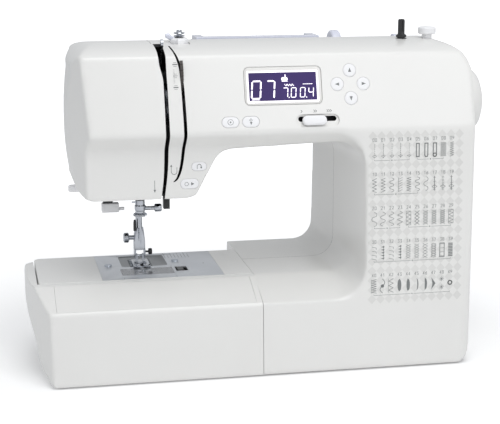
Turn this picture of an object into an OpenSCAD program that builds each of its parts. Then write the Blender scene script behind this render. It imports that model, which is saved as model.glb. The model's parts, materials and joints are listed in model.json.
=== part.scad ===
// Free-arm sewing machine with an extension table, built as separate pieces.
// Frame: +X towards the handwheel, -Y towards the operator, +Z up.
// The origin is under the middle of the machine, on the surface it stands on.

/* [Overall] */
// Width from the extension table's left face to the handwheel's right face
overall_w = 413; // [413:1:414]
// Depth from front to back at the floor
overall_d = 178; // [177:1:179]
// Height of the top of the casing
body_h = 280; // [279:0.5:281]
// Wall thickness of the casing shells
wall = 2.5; // [2:0.1:3]
// Gap at a seam between two casing pieces
seam = 0.4; // [0.2:0.1:0.6]

/* [Bed and free arm] */
// Height of the bed
bed_z = 79.5; // [79:0.5:80]
// Height of the crease at the top of the base's front face
crease_z = 64; // [62:1:66]
// X of the seam between the extension table and the base
table_seam_x = -11; // [-12:0.5:-10]
// Left end of the free arm
arm_end_x = -197; // [-198:0.5:-196]
// Front face of the free arm
arm_front_y = -42; // [-42.5:0.5:-41.5]
// Rear face of the free arm
arm_rear_y = 48; // [47.5:0.5:48.5]
// Underside of the free arm
arm_floor_z = 28; // [27:0.5:29]
// Wall thickness of the free-arm cover
arm_wall = 3; // [2.8:0.1:3.2]

/* [Pillar and throat] */
// Right side of the pillar
pillar_right_x = 177; // [176:0.5:178]
// Inner wall of the pillar, the right side of the throat
throat_right_x = 78; // [77:0.5:80]
// Underside of the arm over the throat
throat_top_z = 194; // [193:0.5:195]
// Corner radius of the throat
throat_r = 18; // [16:1:20]

/* [Head] */
// Underside of the head
head_floor_z = 154; // [153:0.5:155]
// Left side of the head at mid depth
head_left_x = -170; // [-171:0.5:-169]
// X of the thread slot between the face cover and the front cover
slot_x = -90; // [-90.5:0.5:-89.5]
// Width of the thread slot
slot_w = 3.6; // [3.4:0.1:3.8]

/* [Control panel] */
// Z of the panel's lower crease
panel_low_z = 208.4; // [208:0.1:209]
// Y of the panel's lower crease
panel_low_y = -79.3; // [-79.5:0.1:-79]
// Z of the panel's upper crease
panel_top_z = 272; // [271:0.5:273]
// Y of the panel's upper crease
panel_top_y = -60.7; // [-61:0.1:-60]
// Width of the display window
window_w = 66; // [64:0.5:68]
// Height of the display window along the panel
window_h = 32; // [30:0.5:33]
// Radius of an arrow key
arrow_r = 5.6; // [5:0.1:6]

/* [Upper drive] */
// Y of the needle bar and of the arm shaft
drive_y = 4; // [4:0.5:4.5]
// X of the needle bar
needle_x = -104; // [-104.5:0.5:-103.5]
// Height of the arm shaft
shaft_z = 221; // [220.5:0.5:221.5]
// Radius of the arm shaft
shaft_r = 6; // [5.8:0.1:6.2]
// Crank radius, half of the needle bar's stroke
crank_r = 15.5; // [15:0.5:16]
// Length of the connecting rod between its eyes
rod_len = 40.5; // [40:0.5:41]
// Radius of the needle bar
needle_bar_r = 3.25; // [3:0.05:3.5]
// Radius of the presser bar
presser_bar_r = 3; // [2.8:0.05:3.2]
// Radius of the handwheel
handwheel_r = 32; // [30:0.5:33]

/* [Lower drive] */
// X of the hook's axis
hook_x = -101; // [-101.5:0.5:-100.5]
// Y of the hook's axis
hook_y = -14; // [-14.5:0.5:-13.5]
// Outer radius of the hook
hook_r = 16.4; // [16:0.1:16.6]
// Outer radius of the bobbin
bobbin_r = 10.2; // [10:0.05:10.3]
// Y of the lower shaft
lower_y = 3; // [3:0.5:3.5]
// Height of the lower shaft
lower_z = 46; // [45.5:0.5:46.5]

/* [Top] */
// X of the bobbin-winder spindle
winder_x = 126; // [125:1:127]
// Y of the bobbin-winder spindle and its stopper
winder_y = -20; // [-21:1:-19]
// Height of the top of the winder spindle
overall_h = 297; // [295:1:299]
// Y of the spool pin
spool_y = 35; // [34:0.5:36]
// Height of the spool pin
spool_z = 270.5; // [270:0.5:271]

/* [Hidden] */
$fn = 48;

big = 500;
eps = 0.01;
half_w = overall_w / 2;
half_d = overall_d / 2;
fit = 0.05;
loose = 0.3;
floor_gap = 1;
split_y = 10;
panel_dy = panel_top_y - panel_low_y;
panel_dz = panel_top_z - panel_low_z;
panel_tilt = 90 - atan2(panel_dy, panel_dz);
white = [0.93, 0.93, 0.92];
steel = [0.72, 0.74, 0.76];
dark = [0.12, 0.12, 0.13];
cast = [0.62, 0.63, 0.64];

// ---------- helpers ----------

// Y of the control panel's face at height z
function panel_y(z) = panel_low_y + (z - panel_low_z) * panel_dy / panel_dz;

// A box given by its low and high corners
module span(lo, hi) {
    translate(lo) cube(hi - lo);
}

// A cylinder along X from x0 to x1
module rod_x(x0, x1, y, z, r) {
    translate([x0, y, z]) rotate([0, 90, 0]) cylinder(h = x1 - x0, r = r);
}

// A cylinder along Y from y0 to y1
module rod_y(x, y0, y1, z, r) {
    translate([x, y0, z]) rotate([-90, 0, 0]) cylinder(h = y1 - y0, r = r);
}

// A cylinder along Z from z0 to z1
module rod_z(x, y, z0, z1, r) {
    translate([x, y, z0]) cylinder(h = z1 - z0, r = r);
}

// Extrudes an outline drawn as (x, z) right through the machine along Y
module through_y() {
    translate([0, big / 2, 0]) rotate([90, 0, 0]) linear_extrude(big) children();
}

// Extrudes an outline drawn as (y, z) from x0 to x1
module along_x(x0, x1) {
    translate([x0, 0, 0]) rotate([90, 0, 90]) linear_extrude(x1 - x0) children();
}

// Places children on the control panel, local Z out of it and local Y up it
module on_panel(x, z) {
    translate([x, panel_y(z), z]) rotate([panel_tilt, 0, 0]) children();
}

// Places children on the upright lower face of the head
module on_head(x, z) {
    translate([x, head_face_y, z]) rotate([90, 0, 0]) children();
}

// A flat oval w by h
module oval(w, h, t) {
    linear_extrude(t) {
        translate([(h - w) / 2, -h / 2]) square([w - h, h]);
        for (s = [-1, 1]) translate([s * (w - h) / 2, 0]) circle(d = h);
    }
}

// Points along an arc about c from angle a0 to a1
function arc(c, r, a0, a1, n = 6) =
    [for (i = [0:n]) c + r * [cos(a0 + (a1 - a0) * i / n), sin(a0 + (a1 - a0) * i / n)]];

// Unit vector along v, and the same turned a quarter turn to the left
function unit(v) = v / norm(v);
function left(v) = [-v[1], v[0]];

// A polygon's points, listed anticlockwise, moved inwards by g
function inset(p, g) = [for (i = [0:len(p) - 1]) let (
    n = len(p),
    u = left(unit(p[i] - p[(i + n - 1) % n])),
    v = left(unit(p[(i + 1) % n] - p[i]))
) p[i] + g * (u + v) / (1 + u * v)];

// ---------- casing envelope ----------

head_face_y = -68;
top_z = body_h + 1;
corner_r = 26;
side_r = 310;

// Front view of the casing without the free arm, as (x, z)
front_points = concat(
    [[table_seam_x, floor_gap]],
    arc([pillar_right_x - 12, 12], 11, -90, 0),
    arc([pillar_right_x - corner_r, top_z - corner_r], corner_r, 0, 90),
    arc([head_left_x + 24, top_z - 20], 20, 90, 165),
    arc([head_left_x + side_r, shaft_z - 6], side_r, 171.3, 188.7),
    arc([head_left_x + 16, head_floor_z + 12], 12, 190, 270),
    arc([-74, head_floor_z + 9], 9, 270, 335),
    arc([-35, throat_top_z - 17], 17, 155, 90),
    arc([throat_right_x - throat_r, throat_top_z - throat_r], throat_r, 90, 0),
    arc([throat_right_x - throat_r, bed_z + throat_r], throat_r, 0, -90),
    [[table_seam_x, bed_z]]);

// Side view of the casing from the back round to the front, as (y, z)
side_points = [[86, -20], [half_d, 12], [half_d, 40], [84, 90], [79, 190], [75, 236], [70, 254],
    [62, 265], [52, 272], [36, 276.8], [15, 279.3], [-8, body_h], [-28, 279.3], [-44, 277.4],
    [-54, 275], [panel_top_y, panel_top_z], [panel_low_y, panel_low_z], [-86, crease_z], [-half_d, 0],
    [-half_d, -20]];

// Plan view of the casing, as (x, y)
plan_points = concat(
    arc([pillar_right_x - 19, -half_d + 19], 20, -90, 0),
    arc([pillar_right_x - 23, half_d - 20], 24, 0, 90),
    arc([-130, 53], 30, 90, 150),
    arc([head_left_x + 79.5, 0], 80, 148, 212),
    arc([-131, -half_d + 18], 20, 200, 270));

// The wedges that the casing's front loses under the arm and over the bed
module front_bevels(g) {
    along_x(-big / 2, throat_right_x - 8 + g) polygon([[-120, panel_low_z - g], [panel_low_y - 2, panel_low_z - g],
        [panel_low_y + g, panel_low_z - g], [head_face_y + g, throat_top_z + 2 - g], [head_face_y + g, 100],
        [-120, 100]]);
    along_x(-big / 2, throat_right_x - 8 + g) polygon([[-120, crease_z - g], [-86 + g, crease_z - g],
        [arm_front_y - 3 + g, bed_z - g], [arm_front_y - 3, bed_z + 6], [-120, bed_z + 6]]);
}

// The casing as one mass, shrunk all round by g
module casing_mass(g = 0) {
    difference() {
        intersection() {
            through_y() polygon(inset(front_points, g));
            along_x(-big / 2, big / 2) polygon(inset(side_points, g));
            translate([0, 0, -big / 5]) linear_extrude(big) polygon(inset(plan_points, g));
        }
        front_bevels(g);
    }
}

// The hollow inside the casing, open at the bottom
module casing_hollow() {
    casing_mass(wall);
    span([table_seam_x + wall, -half_d + 5, -1], [pillar_right_x - 5, half_d - 5, 8]);
}

// Openings that both the front and the rear cover share
module shared_openings() {
    rod_x(pillar_right_x - 20, pillar_right_x + 20, drive_y, shaft_z, 14);
    span([table_seam_x - 5, arm_front_y + arm_wall, arm_floor_z + arm_wall],
        [table_seam_x + wall + 1, arm_rear_y - arm_wall, bed_z - arm_wall]);
}

// ---------- covers ----------

handle_x = [-52, 62];
trough_x = [68, 138];

module front_cover() color(white) {
    difference() {
        casing_mass();
        casing_hollow();
        span([-big, split_y - seam / 2, -big], [big, big, big]);
        span([-big, -big, -big], [slot_x + slot_w / 2, big, big]);
        shared_openings();
        on_panel(9, 246.9) span([-window_w / 2 - 0.2, -window_h / 2 - 0.2, -1.8],
            [window_w / 2 + 0.2, window_h / 2 + 0.2, 5]);
        on_panel(9, 246.9) span([-30, -13.5, -8], [30, 13.5, 5]);
        for (k = arrow_keys) on_panel(k[0], k[1]) translate([0, 0, -8]) cylinder(h = 12, r = arrow_r + loose);
        for (k = oval_keys) on_panel(k[0], k[1]) translate([0, 0, -8]) oval(15.2, 9.8, 12);
        on_head(reverse_at[0], reverse_at[1]) translate([0, 0, -8]) oval(13.6, 8.2, 12);
        on_head(start_at[0], start_at[1]) translate([0, 0, -8]) oval(16.2, 9.2, 12);
        on_panel(37, 218) translate([0, 0, -8]) span([-18.5, -3, 0], [18.5, 3, 12]);
        span([-77.4, -100, 170], [-74.2, -36, 300]);
        span([-79, -31, 268], [-63, -9, 290]);
        span([slot_x, -24, head_floor_z - 5], [-74, split_y, head_floor_z + 5]);
        rod_z(winder_x, winder_y, 260, 300, 5);
        rod_z(winder_x + 23.5, winder_y, 260, 300, 4.8);
    }
}

module rear_cover() color(white) {
    difference() {
        union() {
            difference() {
                casing_mass();
                casing_hollow();
            }
            intersection() {
                casing_mass();
                union() {
                    span([handle_x[0] - wall, split_y, 263.5], [handle_x[1] + wall, 58.5, 300]);
                    span([trough_x[0] - wall, split_y + 3, 254], [trough_x[1] + wall, 58.5, 300]);
                }
            }
        }
        span([handle_x[0], split_y + wall, 266], [handle_x[1], 56, 300]);
        span([trough_x[0], split_y + 6, 256.5], [trough_x[1], 56, 300]);
        span([-big, -big, -big], [big, split_y + seam / 2, big]);
        span([-big, -big, -big], [slot_x - 1.4, big, big]);
        shared_openings();
        rod_x(handle_x[0] - 2, handle_x[0] + 1, 47, 271, 2.55);
        rod_x(handle_x[1] - 1, handle_x[1] + 2, 47, 271, 2.55);
        rod_x(trough_x[1] - 1, trough_x[1] + wall + 1, spool_y, spool_z, 4);
        span([slot_x - 5, split_y - 1, head_floor_z - 5], [-74, 62, head_floor_z + 5]);
        span([pillar_right_x - 8, 20, 18], [pillar_right_x + 5, 64, 52]);
        for (p = cover_screw_at) {
            rod_y(p[0], 60, 100, p[1], 2);
            rod_y(p[0], cover_screw_y(p[1]) - 1.05, 100, p[1], 3.5);
        }
    }
}

module face_cover() color(white) {
    difference() {
        casing_mass();
        casing_hollow();
        span([slot_x - slot_w / 2, -big, -big], [big, big, big]);
        span([-150, -24, head_floor_z - 5], [big, 43, head_floor_z + 5]);
    }
}

module bottom_plate() color(dark) {
    difference() {
        translate([0, 0, 1.5]) linear_extrude(2.5) intersection() {
            polygon(inset(plan_points, wall + 4));
            translate([table_seam_x + wall + 0.6, -half_d + wall + 3]) square([big, overall_d - 2 * wall - 6]);
        }
        for (x = [30:12:126]) span([x, -30, 0], [x + 5, 30, 10]);
    }
}

// Plan view of the free arm, as (x, y)
arm_points = concat(
    arc([arm_end_x + 14, arm_rear_y - 14], 14, 90, 180),
    arc([arm_end_x + 14, arm_front_y + 14], 14, 180, 270),
    [[table_seam_x - loose, arm_front_y], [table_seam_x - loose, arm_rear_y]]);

module free_arm_cover() color(white) {
    difference() {
        translate([0, 0, arm_floor_z]) linear_extrude(bed_z - arm_floor_z) polygon(arm_points);
        translate([0, 0, arm_floor_z + arm_wall]) linear_extrude(bed_z - arm_floor_z - 2 * arm_wall)
            polygon(inset(arm_points, arm_wall));
        span([table_seam_x - 5, arm_front_y + arm_wall, arm_floor_z + arm_wall],
            [table_seam_x + 1, arm_rear_y - arm_wall, bed_z - arm_wall]);
        span([plate_x[0] - 0.1, plate_y[0] - 0.1, bed_z - 1.8], [plate_x[1] + 0.1, plate_y[1] + 0.1, bed_z + 1]);
        span([plate_x[0] + 3, plate_y[0] + 3, bed_z - 5], [plate_x[1] - 3, plate_y[1] - 3, bed_z + 1]);
        span([-66, arm_rear_y - 4, 57], [-48, arm_rear_y + 1, 61]);
    }
}

// ---------- frame ----------

plate_x = [-142.4, -36.2];
plate_y = [-41, 46.5];
frame_y = [30, 42];
cover_screw_at = [[-70, 180], [60, 215], [150, 250], [150, 30], [20, 30]];

// A bearing lug for a shaft along X, reaching forward from the frame
module shaft_lug(x, y, z, r, y_end) {
    difference() {
        span([x - 4, y - r - 5, z - r - 5], [x + 4, y_end, z + r + 5]);
        rod_x(x - 5, x + 5, y, z, r + fit);
    }
}

module main_frame() color(cast) {
    difference() {
        union() {
            span([-150, frame_y[0], 205], [168, frame_y[1], 250]);
            span([100, frame_y[0], 8], [168, frame_y[1], 250]);
            span([-5, frame_y[0], 8], [168, frame_y[1], 60]);
            span([-5, -60, 6], [165, 60, 9]);
            span([-185, 26, 40], [100, 34, 60]);
            span([hook_x - 9, hook_y - 9, 31.5], [hook_x + 9, 34, 36]);
            span([hook_x - 9, 26, 31.5], [hook_x + 9, 34, 60]);
            span([-112, frame_y[0], 148], [-96, frame_y[1], 262]);
            span([-112, frame_y[0], 152], [-88, frame_y[1], 210]);
            span([-95, 16, 157], [-91, frame_y[1], 169]);
            span([slot_x - 6.5, drive_y - 25, 254], [slot_x - 2.5, frame_y[1], 262]);
            span([slot_x - 6.5, drive_y - 21, 222], [slot_x - 2.5, drive_y - 9, 262]);
            for (z = [[152, 160], [226, 234]])
                span([needle_x - 6, presser_y - 5, z[0]], [needle_x + 6, frame_y[1], z[1]]);
        }
        for (z = [[151, 161], [225, 235]]) rod_z(needle_x, presser_y, z[0], z[1], presser_bar_r + fit);
        rod_z(hook_x, hook_y, 30, 37, 3 + fit);
        span([arm_belt_x[0] - 2, frame_y[0] - 1, shaft_z - 31], [170, frame_y[0] + 4.5, shaft_z + 31]);
        span([pillar_right_x - 23, 18, 16], [pillar_right_x, 66, 54]);
    }
    for (x = [-62, 34, 144]) shaft_lug(x, drive_y, shaft_z, shaft_r, frame_y[0] + eps);
    for (x = [-56, -132]) shaft_lug(x, lower_y, lower_z, 4, 26 + eps);
    shaft_lug(124, lower_y, lower_z, 4, frame_y[0] + eps);
    rod_y(needle_x, drive_y - 8, frame_y[0] + eps, 252, 3);
    rod_x(slot_x - 2.5 - eps, slot_x + 2, take_up_y, take_up_z, 3);
    rod_x(-91 - eps, slot_x + 14.5, 22, lifter_z, 1.95);
}

module needle_plate() color(steel) {
    difference() {
        span([plate_x[0], plate_y[0], bed_z - 1.7], [plate_x[1], plate_y[1], bed_z]);
        span([-124, -27.2, 70], [-77.8, -5.2, 90]);
        span([-75.4, -19.6, 70], [-64.9, -5.2, 90]);
        for (r = feed_rows) span([r[0] - 1.6, r[1] - 3.2, 70], [r[0] + 1.6, r[2] + 3.2, 90]);
        translate([needle_x, drive_y, 70]) oval(9.6, 2.6, 20);
        for (p = plate_screw_at) rod_z(p[0], p[1], 70, 90, 2);
    }
}

plate_screw_at = [[-133, 9], [-72, 16]];

// Feed-dog rows as [x, first y, last y]
feed_rows = [[-112, 6, 26], [-108, 9, 28], [-104, 12, 28], [-100, 9, 28], [-96, 6, 26]];

// One countersunk screw with its head's top at the origin, pointing down
module screw(head_r, shank_r, len) {
    translate([0, 0, -1]) difference() {
        cylinder(h = 1, r = head_r);
        span([-head_r, -0.5, 0.5], [head_r, 0.5, 2]);
    }
    translate([0, 0, -len]) cylinder(h = len - 1 + eps, r = shank_r);
}

module fasteners() color(steel) {
    for (p = plate_screw_at) translate([p[0], p[1], bed_z + 1]) screw(3.2, 1.9, 6);
    for (p = cover_screw_at) translate([p[0], cover_screw_y(p[1]), p[1]]) rotate([-90, 0, 0]) screw(3.4, 1.8, 9);
}

// Y of the rear cover's face at height z, plus a screw head
function cover_screw_y(z) = z < 100 ? half_d - 0.1 : (z < 200 ? 80.9 : (z < 240 ? 78.3 : 72.3));

module rubber_feet() color(dark) {
    for (x = [8, 152], y = [-66, 66]) rod_z(x, y, 0, 1.5, 8);
}

// ---------- upper drive ----------

presser_y = drive_y + 12;
take_up_y = drive_y - 15;
take_up_z = 228;
pin_z = shaft_z + crank_r;
stud_z = pin_z - rod_len;
arm_belt_x = [153, 160];
lower_belt_x = [163.5, 169.5];
belt_r = 14.7;

module arm_shaft() color(steel) {
    difference() {
        union() {
            rod_x(-80, 196, drive_y, shaft_z, shaft_r);
            rod_x(-82, -75, drive_y, shaft_z, 21);
            rod_x(-87.7, -81, drive_y, pin_z, 3);
            rod_x(arm_belt_x[0], arm_belt_x[1], drive_y, shaft_z, 27.7);
            rod_x(lower_belt_x[0] - 1, lower_belt_x[1], drive_y, shaft_z, belt_r);
        }
        for (a = [0:60:300]) rotate_about_shaft(a) rod_x(arm_belt_x[0] - 1, arm_belt_x[1] + 1,
            drive_y, shaft_z + 20, 4.5);
    }
}

// Turns children about the arm shaft
module rotate_about_shaft(a) {
    translate([0, drive_y, shaft_z]) rotate([a, 0, 0]) translate([0, -drive_y, -shaft_z]) children();
}

module handwheel() color(white) {
    translate([half_w - 26.5, drive_y, shaft_z]) rotate([0, 90, 0]) difference() {
        rotate_extrude() polygon([[0, -6], [10, -6], [10, 0], [handwheel_r - 2, 0], [handwheel_r, 3],
            [handwheel_r, 14], [handwheel_r - 2.5, 20], [handwheel_r - 8, 24], [16, 26], [0, 26.5]]);
        translate([0, 0, -7]) cylinder(h = 23, r = shaft_r + 0.02);
        for (a = [0:12:348]) rotate([0, 0, a]) translate([handwheel_r + 0.6, 0, 2]) cylinder(h = 13, r = 1.4);
    }
}

module connecting_rod() color(steel) {
    difference() {
        union() {
            rod_x(-87.4, -84, drive_y, pin_z, 6);
            rod_x(-87.4, -84, drive_y, stud_z, 6);
            span([-87.4, drive_y - 3.5, stud_z], [-84, drive_y + 3.5, pin_z]);
        }
        rod_x(-88, -83, drive_y, pin_z, 3 + fit);
        rod_x(-88, -83, drive_y, stud_z, 3.4);
    }
}

module swing_frame() color(cast) {
    difference() {
        union() {
            span([needle_x - 13, drive_y - 5.5, 149], [needle_x - 7, drive_y + 5.5, 258]);
            for (z = [149, 222]) span([needle_x - 8, drive_y - 5.5, z], [needle_x + 5.5, drive_y + 5.5, z + 8]);
            rod_y(needle_x, drive_y - 5.5, drive_y + 5.5, 252, 6);
            span([needle_x - 12, drive_y - 5.5, 247], [needle_x, drive_y + 5.5, 258]);
        }
        rod_y(needle_x, drive_y - 7, drive_y + 7, 252, 3 + fit);
        for (z = [148, 221]) rod_z(needle_x, drive_y, z, z + 10, needle_bar_r + fit);
    }
}

module needle_bar() color(steel) {
    rod_z(needle_x, drive_y, 134, 240, needle_bar_r);
    difference() {
        span([needle_x - 5, drive_y - 5, stud_z - 5.5], [needle_x + 6, drive_y + 5, stud_z + 5.5]);
        rod_z(needle_x, drive_y, stud_z - 7, stud_z + 7, needle_bar_r - eps);
    }
    rod_x(needle_x + 6 - eps, -89.4, drive_y, stud_z, 3);
}

module needle_clamp() color(steel) {
    difference() {
        union() {
            rod_z(needle_x, drive_y, 126, 140, 5.2);
            rod_x(needle_x + 4, needle_x + 14, drive_y, 132, 1.8);
            rod_x(needle_x + 13, needle_x + 19, drive_y, 132, 3.6);
            span([needle_x - 7.5, drive_y - 1, 137], [needle_x + 2, drive_y + 1, 139]);
        }
        rod_z(needle_x, drive_y, 134, 141, needle_bar_r);
        rod_z(needle_x, drive_y, 125, 135, 1.02);
    }
}

module needle() color(steel) {
    rod_z(needle_x, drive_y, 122, 133.5, 1);
    rod_z(needle_x, drive_y, 103, 122, 0.6);
    translate([needle_x, drive_y, 99]) cylinder(h = 4, r1 = 0.1, r2 = 0.6);
}

take_up_len = 66;
take_up_rest = 55;

module take_up_lever() color(steel) {
    translate([slot_x, take_up_y, take_up_z]) rotate([-take_up_rest, 0, 0]) difference() {
        union() {
            rod_x(-1.8, 1.2, 0, 0, 6);
            span([-1, -take_up_len, -2.5], [1, 0, 2.5]);
            rod_x(-1, 1, -take_up_len, 0, 3.4);
        }
        rod_x(-3, 3, 0, 0, 3 + fit);
        rod_x(-3, 3, -take_up_len, 0.4, 1.4);
    }
}

module presser_bar() color(steel) {
    rod_z(needle_x, presser_y, 98, 238, presser_bar_r);
    difference() {
        rod_z(needle_x, presser_y, 184, 190, 6);
        rod_z(needle_x, presser_y, 183, 191, presser_bar_r - eps);
    }
}

// Coil spring round the presser bar, between its collar and the upper guide
module presser_spring() color(steel) {
    turns = 6;
    translate([needle_x, presser_y, 190.5]) linear_extrude(35, twist = -360 * turns, slices = 14 * turns)
        translate([4.4, 0]) circle(r = 0.9, $fn = 6);
}

foot_pin = [presser_y - 3, 87];

module foot_holder() color(steel) {
    difference() {
        union() {
            span([needle_x - 5, presser_y - 4.5, 92], [needle_x + 5, presser_y + 4.5, 112]);
            for (s = [-1, 1]) span([needle_x + s * 4.3 - 0.7, foot_pin[0] - 2.5, 84.5],
                [needle_x + s * 4.3 + 0.7, foot_pin[0] + 5, 93]);
        }
        rod_z(needle_x, presser_y, 97.5, 113, presser_bar_r);
        rod_x(needle_x - 6, needle_x + 6, foot_pin[0], foot_pin[1], 1 + fit);
    }
    rod_x(needle_x - 14, needle_x - 9, presser_y, 103, 4.6);
    rod_x(needle_x - 10, needle_x - 5 + eps, presser_y, 103, 2);
}

module presser_foot() color(steel) {
    difference() {
        union() {
            difference() {
                span([needle_x - 7.5, drive_y - 9, bed_z + loose], [needle_x + 7.5, drive_y + 17, bed_z + 2.2]);
                translate([0, foot_pin[0] + 1, bed_z + loose]) rotate([9, 0, 0])
                    span([-150, 0, -5], [-50, 20, 0]);
                translate([0, drive_y - 7, bed_z + loose]) rotate([-14, 0, 0])
                    span([-150, -20, -6], [-50, 0, 0]);
            }
            for (s = [-1, 1]) span([needle_x + s * 2.7 - 0.7, foot_pin[0] - 2, bed_z + 2],
                [needle_x + s * 2.7 + 0.7, foot_pin[0] + 2, 88.5]);
        }
        translate([needle_x, drive_y, 70]) oval(10.4, 4.6, 20);
        span([needle_x - 1.4, drive_y - 20, 70], [needle_x + 1.4, drive_y, 90]);
    }
    rod_x(needle_x - 3.5, needle_x + 3.5, foot_pin[0], foot_pin[1], 1);
}

lifter_z = 163;

module presser_lifter() color(dark) {
    lift_x = slot_x + 11.5;
    difference() {
        union() {
            rod_x(lift_x - 3, lift_x + 3, 22, lifter_z, 5);
            span([lift_x - 2, 19.5, 131], [lift_x + 2, 24.5, lifter_z]);
            span([lift_x - 2.5, 17.5, 127.5], [lift_x + 3, 25.5, 137]);
        }
        rod_x(lift_x - 4, lift_x + 4, 22, lifter_z, 2);
    }
}

module needle_threader() color(white) {
    span([-132, drive_y - 2, 138], [-128, drive_y + 2, 205]);
    span([-138, drive_y - 4, 130], [-123, drive_y + 4, 138 + eps]);
    span([-124, drive_y - 1, 131], [-118, drive_y + 1, 134]);
}

module buttonhole_lever() color(white) {
    span([-143, 20, 150], [-138, 24, 205]);
    span([-145, 19, 145], [-136, 25, 150 + eps]);
}

// ---------- lower drive ----------

module lower_shaft() color(steel) {
    rod_x(-140, 171, lower_y, lower_z, 4);
    difference() {
        rod_x(hook_x - 5, hook_x + 5, lower_y, lower_z, 8.8);
        for (a = [0:30:330]) translate([0, lower_y, lower_z]) rotate([a, 0, 0])
            rod_x(hook_x - 6, hook_x + 6, 0, 9.4, 1.1);
    }
    rod_x(lower_belt_x[0], lower_belt_x[1], lower_y, lower_z, belt_r);
}

module rotary_hook() color(steel) {
    rod_z(hook_x, hook_y, 31.5, 58, 3);
    rod_z(hook_x, hook_y, 41, 51, 7.9);
    difference() {
        rod_z(hook_x, hook_y, 57, 72, hook_r);
        rod_z(hook_x, hook_y, 59, 73, hook_r - 2);
        translate([hook_x, hook_y, 66]) rotate([0, 0, 20]) span([0, -3, 0], [20, 9, 10]);
    }
}

module bobbin_holder() color(dark) {
    difference() {
        rod_z(hook_x, hook_y, 60, 74.5, hook_r - 2 - loose);
        rod_z(hook_x, hook_y, 61.5, 75, bobbin_r + 0.6);
    }
    rod_z(hook_x, hook_y, 61, 72, 2.9);
}

module bobbin() color([0.85, 0.87, 0.9]) {
    difference() {
        rod_z(hook_x, hook_y, 62, 73, bobbin_r);
        rod_z(hook_x, hook_y, 61, 74, 3);
        translate([hook_x, hook_y, 63]) rotate_extrude() translate([5.5, 0]) square([10, 9]);
        for (a = [0:60:300]) rotate_about_hook(a) rod_z(hook_x + 7.6, hook_y, 61, 74, 1);
    }
}

// Turns children about the hook's axis
module rotate_about_hook(a) {
    translate([hook_x, hook_y, 0]) rotate([0, 0, a]) translate([-hook_x, -hook_y, 0]) children();
}

module feed_dog() color(steel) {
    span([needle_x - 11, 11, 70], [needle_x + 11, 22, 75]);
    for (r = feed_rows) difference() {
        span([r[0] - 1, r[1], 74], [r[0] + 1, r[2], bed_z - 0.2]);
        for (y = [r[1] + 1.5:2:r[2] - 1]) translate([r[0], y, bed_z]) rotate([45, 0, 0])
            span([-3, -0.7, -0.7], [3, 0.7, 0.7]);
    }
}

module hook_cover() color([0.8, 0.85, 0.9, 0.4]) {
    span([-123.8, -27, bed_z - 1.6], [-78, -5.4, bed_z]);
    span([-122, -26, bed_z - 2.4], [-119, -20, bed_z - 1.5]);
}

module cover_release() color(dark) {
    span([-74, -18, bed_z - 1.6], [-68.5, -7, bed_z + 0.2]);
    span([-73, -16, 74], [-69, -9, bed_z - 1.5]);
}

module drop_feed_lever() color(dark) {
    span([-64, arm_rear_y - 8, 57.4], [-60, arm_rear_y + 0.6, 60.6]);
    span([-66, arm_rear_y + 0.5, 55], [-58, arm_rear_y + 4, 63]);
}

// ---------- motors, belts and electrics ----------

motor_at = [-38, 44];
feed_motor_at = [-36, 32];

module main_motor() color(dark) {
    rod_x(96, 146, motor_at[0], motor_at[1], 23);
    rod_x(146 - eps, 149, motor_at[0], motor_at[1], 9);
}

module motor_pulley() color(steel) {
    rod_x(149.5, 163, motor_at[0], motor_at[1], 3);
    rod_x(arm_belt_x[0], arm_belt_x[1], motor_at[0], motor_at[1], 7.7);
}

// Outline of a belt of thickness t round two pulleys
module belt_outline(a, ra, b, rb, t) {
    difference() {
        hull() {
            translate(a) circle(ra + loose + t);
            translate(b) circle(rb + loose + t);
        }
        hull() {
            translate(a) circle(ra + loose);
            translate(b) circle(rb + loose);
        }
    }
}

module drive_belts() color(dark) {
    along_x(arm_belt_x[0] + 1, arm_belt_x[1] - 1)
        belt_outline([drive_y, shaft_z], 27.7, motor_at, 7.7, 1.2);
    along_x(lower_belt_x[0] + 0.5, lower_belt_x[1] - 0.5)
        belt_outline([drive_y, shaft_z], belt_r, [lower_y, lower_z], belt_r, 1.2);
}

module stepper_motors() color(steel) {
    rod_y(-30, 14, frame_y[0], 240, 12);
    rod_y(-30, 10, 14 + eps, 240, 3);
    rod_x(20, 44, feed_motor_at[0], feed_motor_at[1], 15);
    rod_x(12, 20 + eps, feed_motor_at[0], feed_motor_at[1], 3);
}

module circuit_boards() color([0.1, 0.4, 0.2]) {
    on_panel(20, 240) span([-66, -28, -13], [66, 28, -11.4]);
    span([20, -14, 12], [95, 22, 13.6]);
    span([30, -8, 13.5], [50, 12, 26]);
    for (x = [66, 80]) rod_z(x, 4, 13.5, 32, 5);
}

module display_window() color([0.85, 0.85, 0.9, 0.5]) {
    on_panel(9, 246.9) span([-window_w / 2, -window_h / 2, -1.6], [window_w / 2, window_h / 2, 0]);
}

module display_module() color([0.35, 0.15, 0.6]) {
    on_panel(9, 246.9) span([-29.6, -13.1, -8], [29.6, 13.1, -2]);
}

module lamp() color([0.95, 0.95, 0.85]) {
    span([-150, -12, 157.5], [-146, 10, 163]);
    span([-148, -10, 155], [-146, 8, 157.6]);
}

module power_sockets() color(dark) {
    difference() {
        span([pillar_right_x - 22, 20.2, 18.2], [pillar_right_x - 1.5, 63.8, 51.8]);
        span([pillar_right_x - 18, 23, 22], [pillar_right_x + 1, 41, 34]);
        rod_x(pillar_right_x - 18, pillar_right_x + 1, 53, 28, 3.2);
        span([pillar_right_x - 12, 24, 39], [pillar_right_x + 1, 46, 50]);
    }
    for (y = [28, 36]) rod_x(pillar_right_x - 18.5, pillar_right_x - 5, y, 28, 1.2);
}

module power_switch() color(dark) {
    translate([pillar_right_x - 4, 35, 44.5]) {
        rod_z(0, 0, -4.6, 4.6, 3.4);
        span([-1.5, -9.2, -4.6], [2.2, 9.2, 4.6]);
    }
}

// ---------- controls ----------

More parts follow.
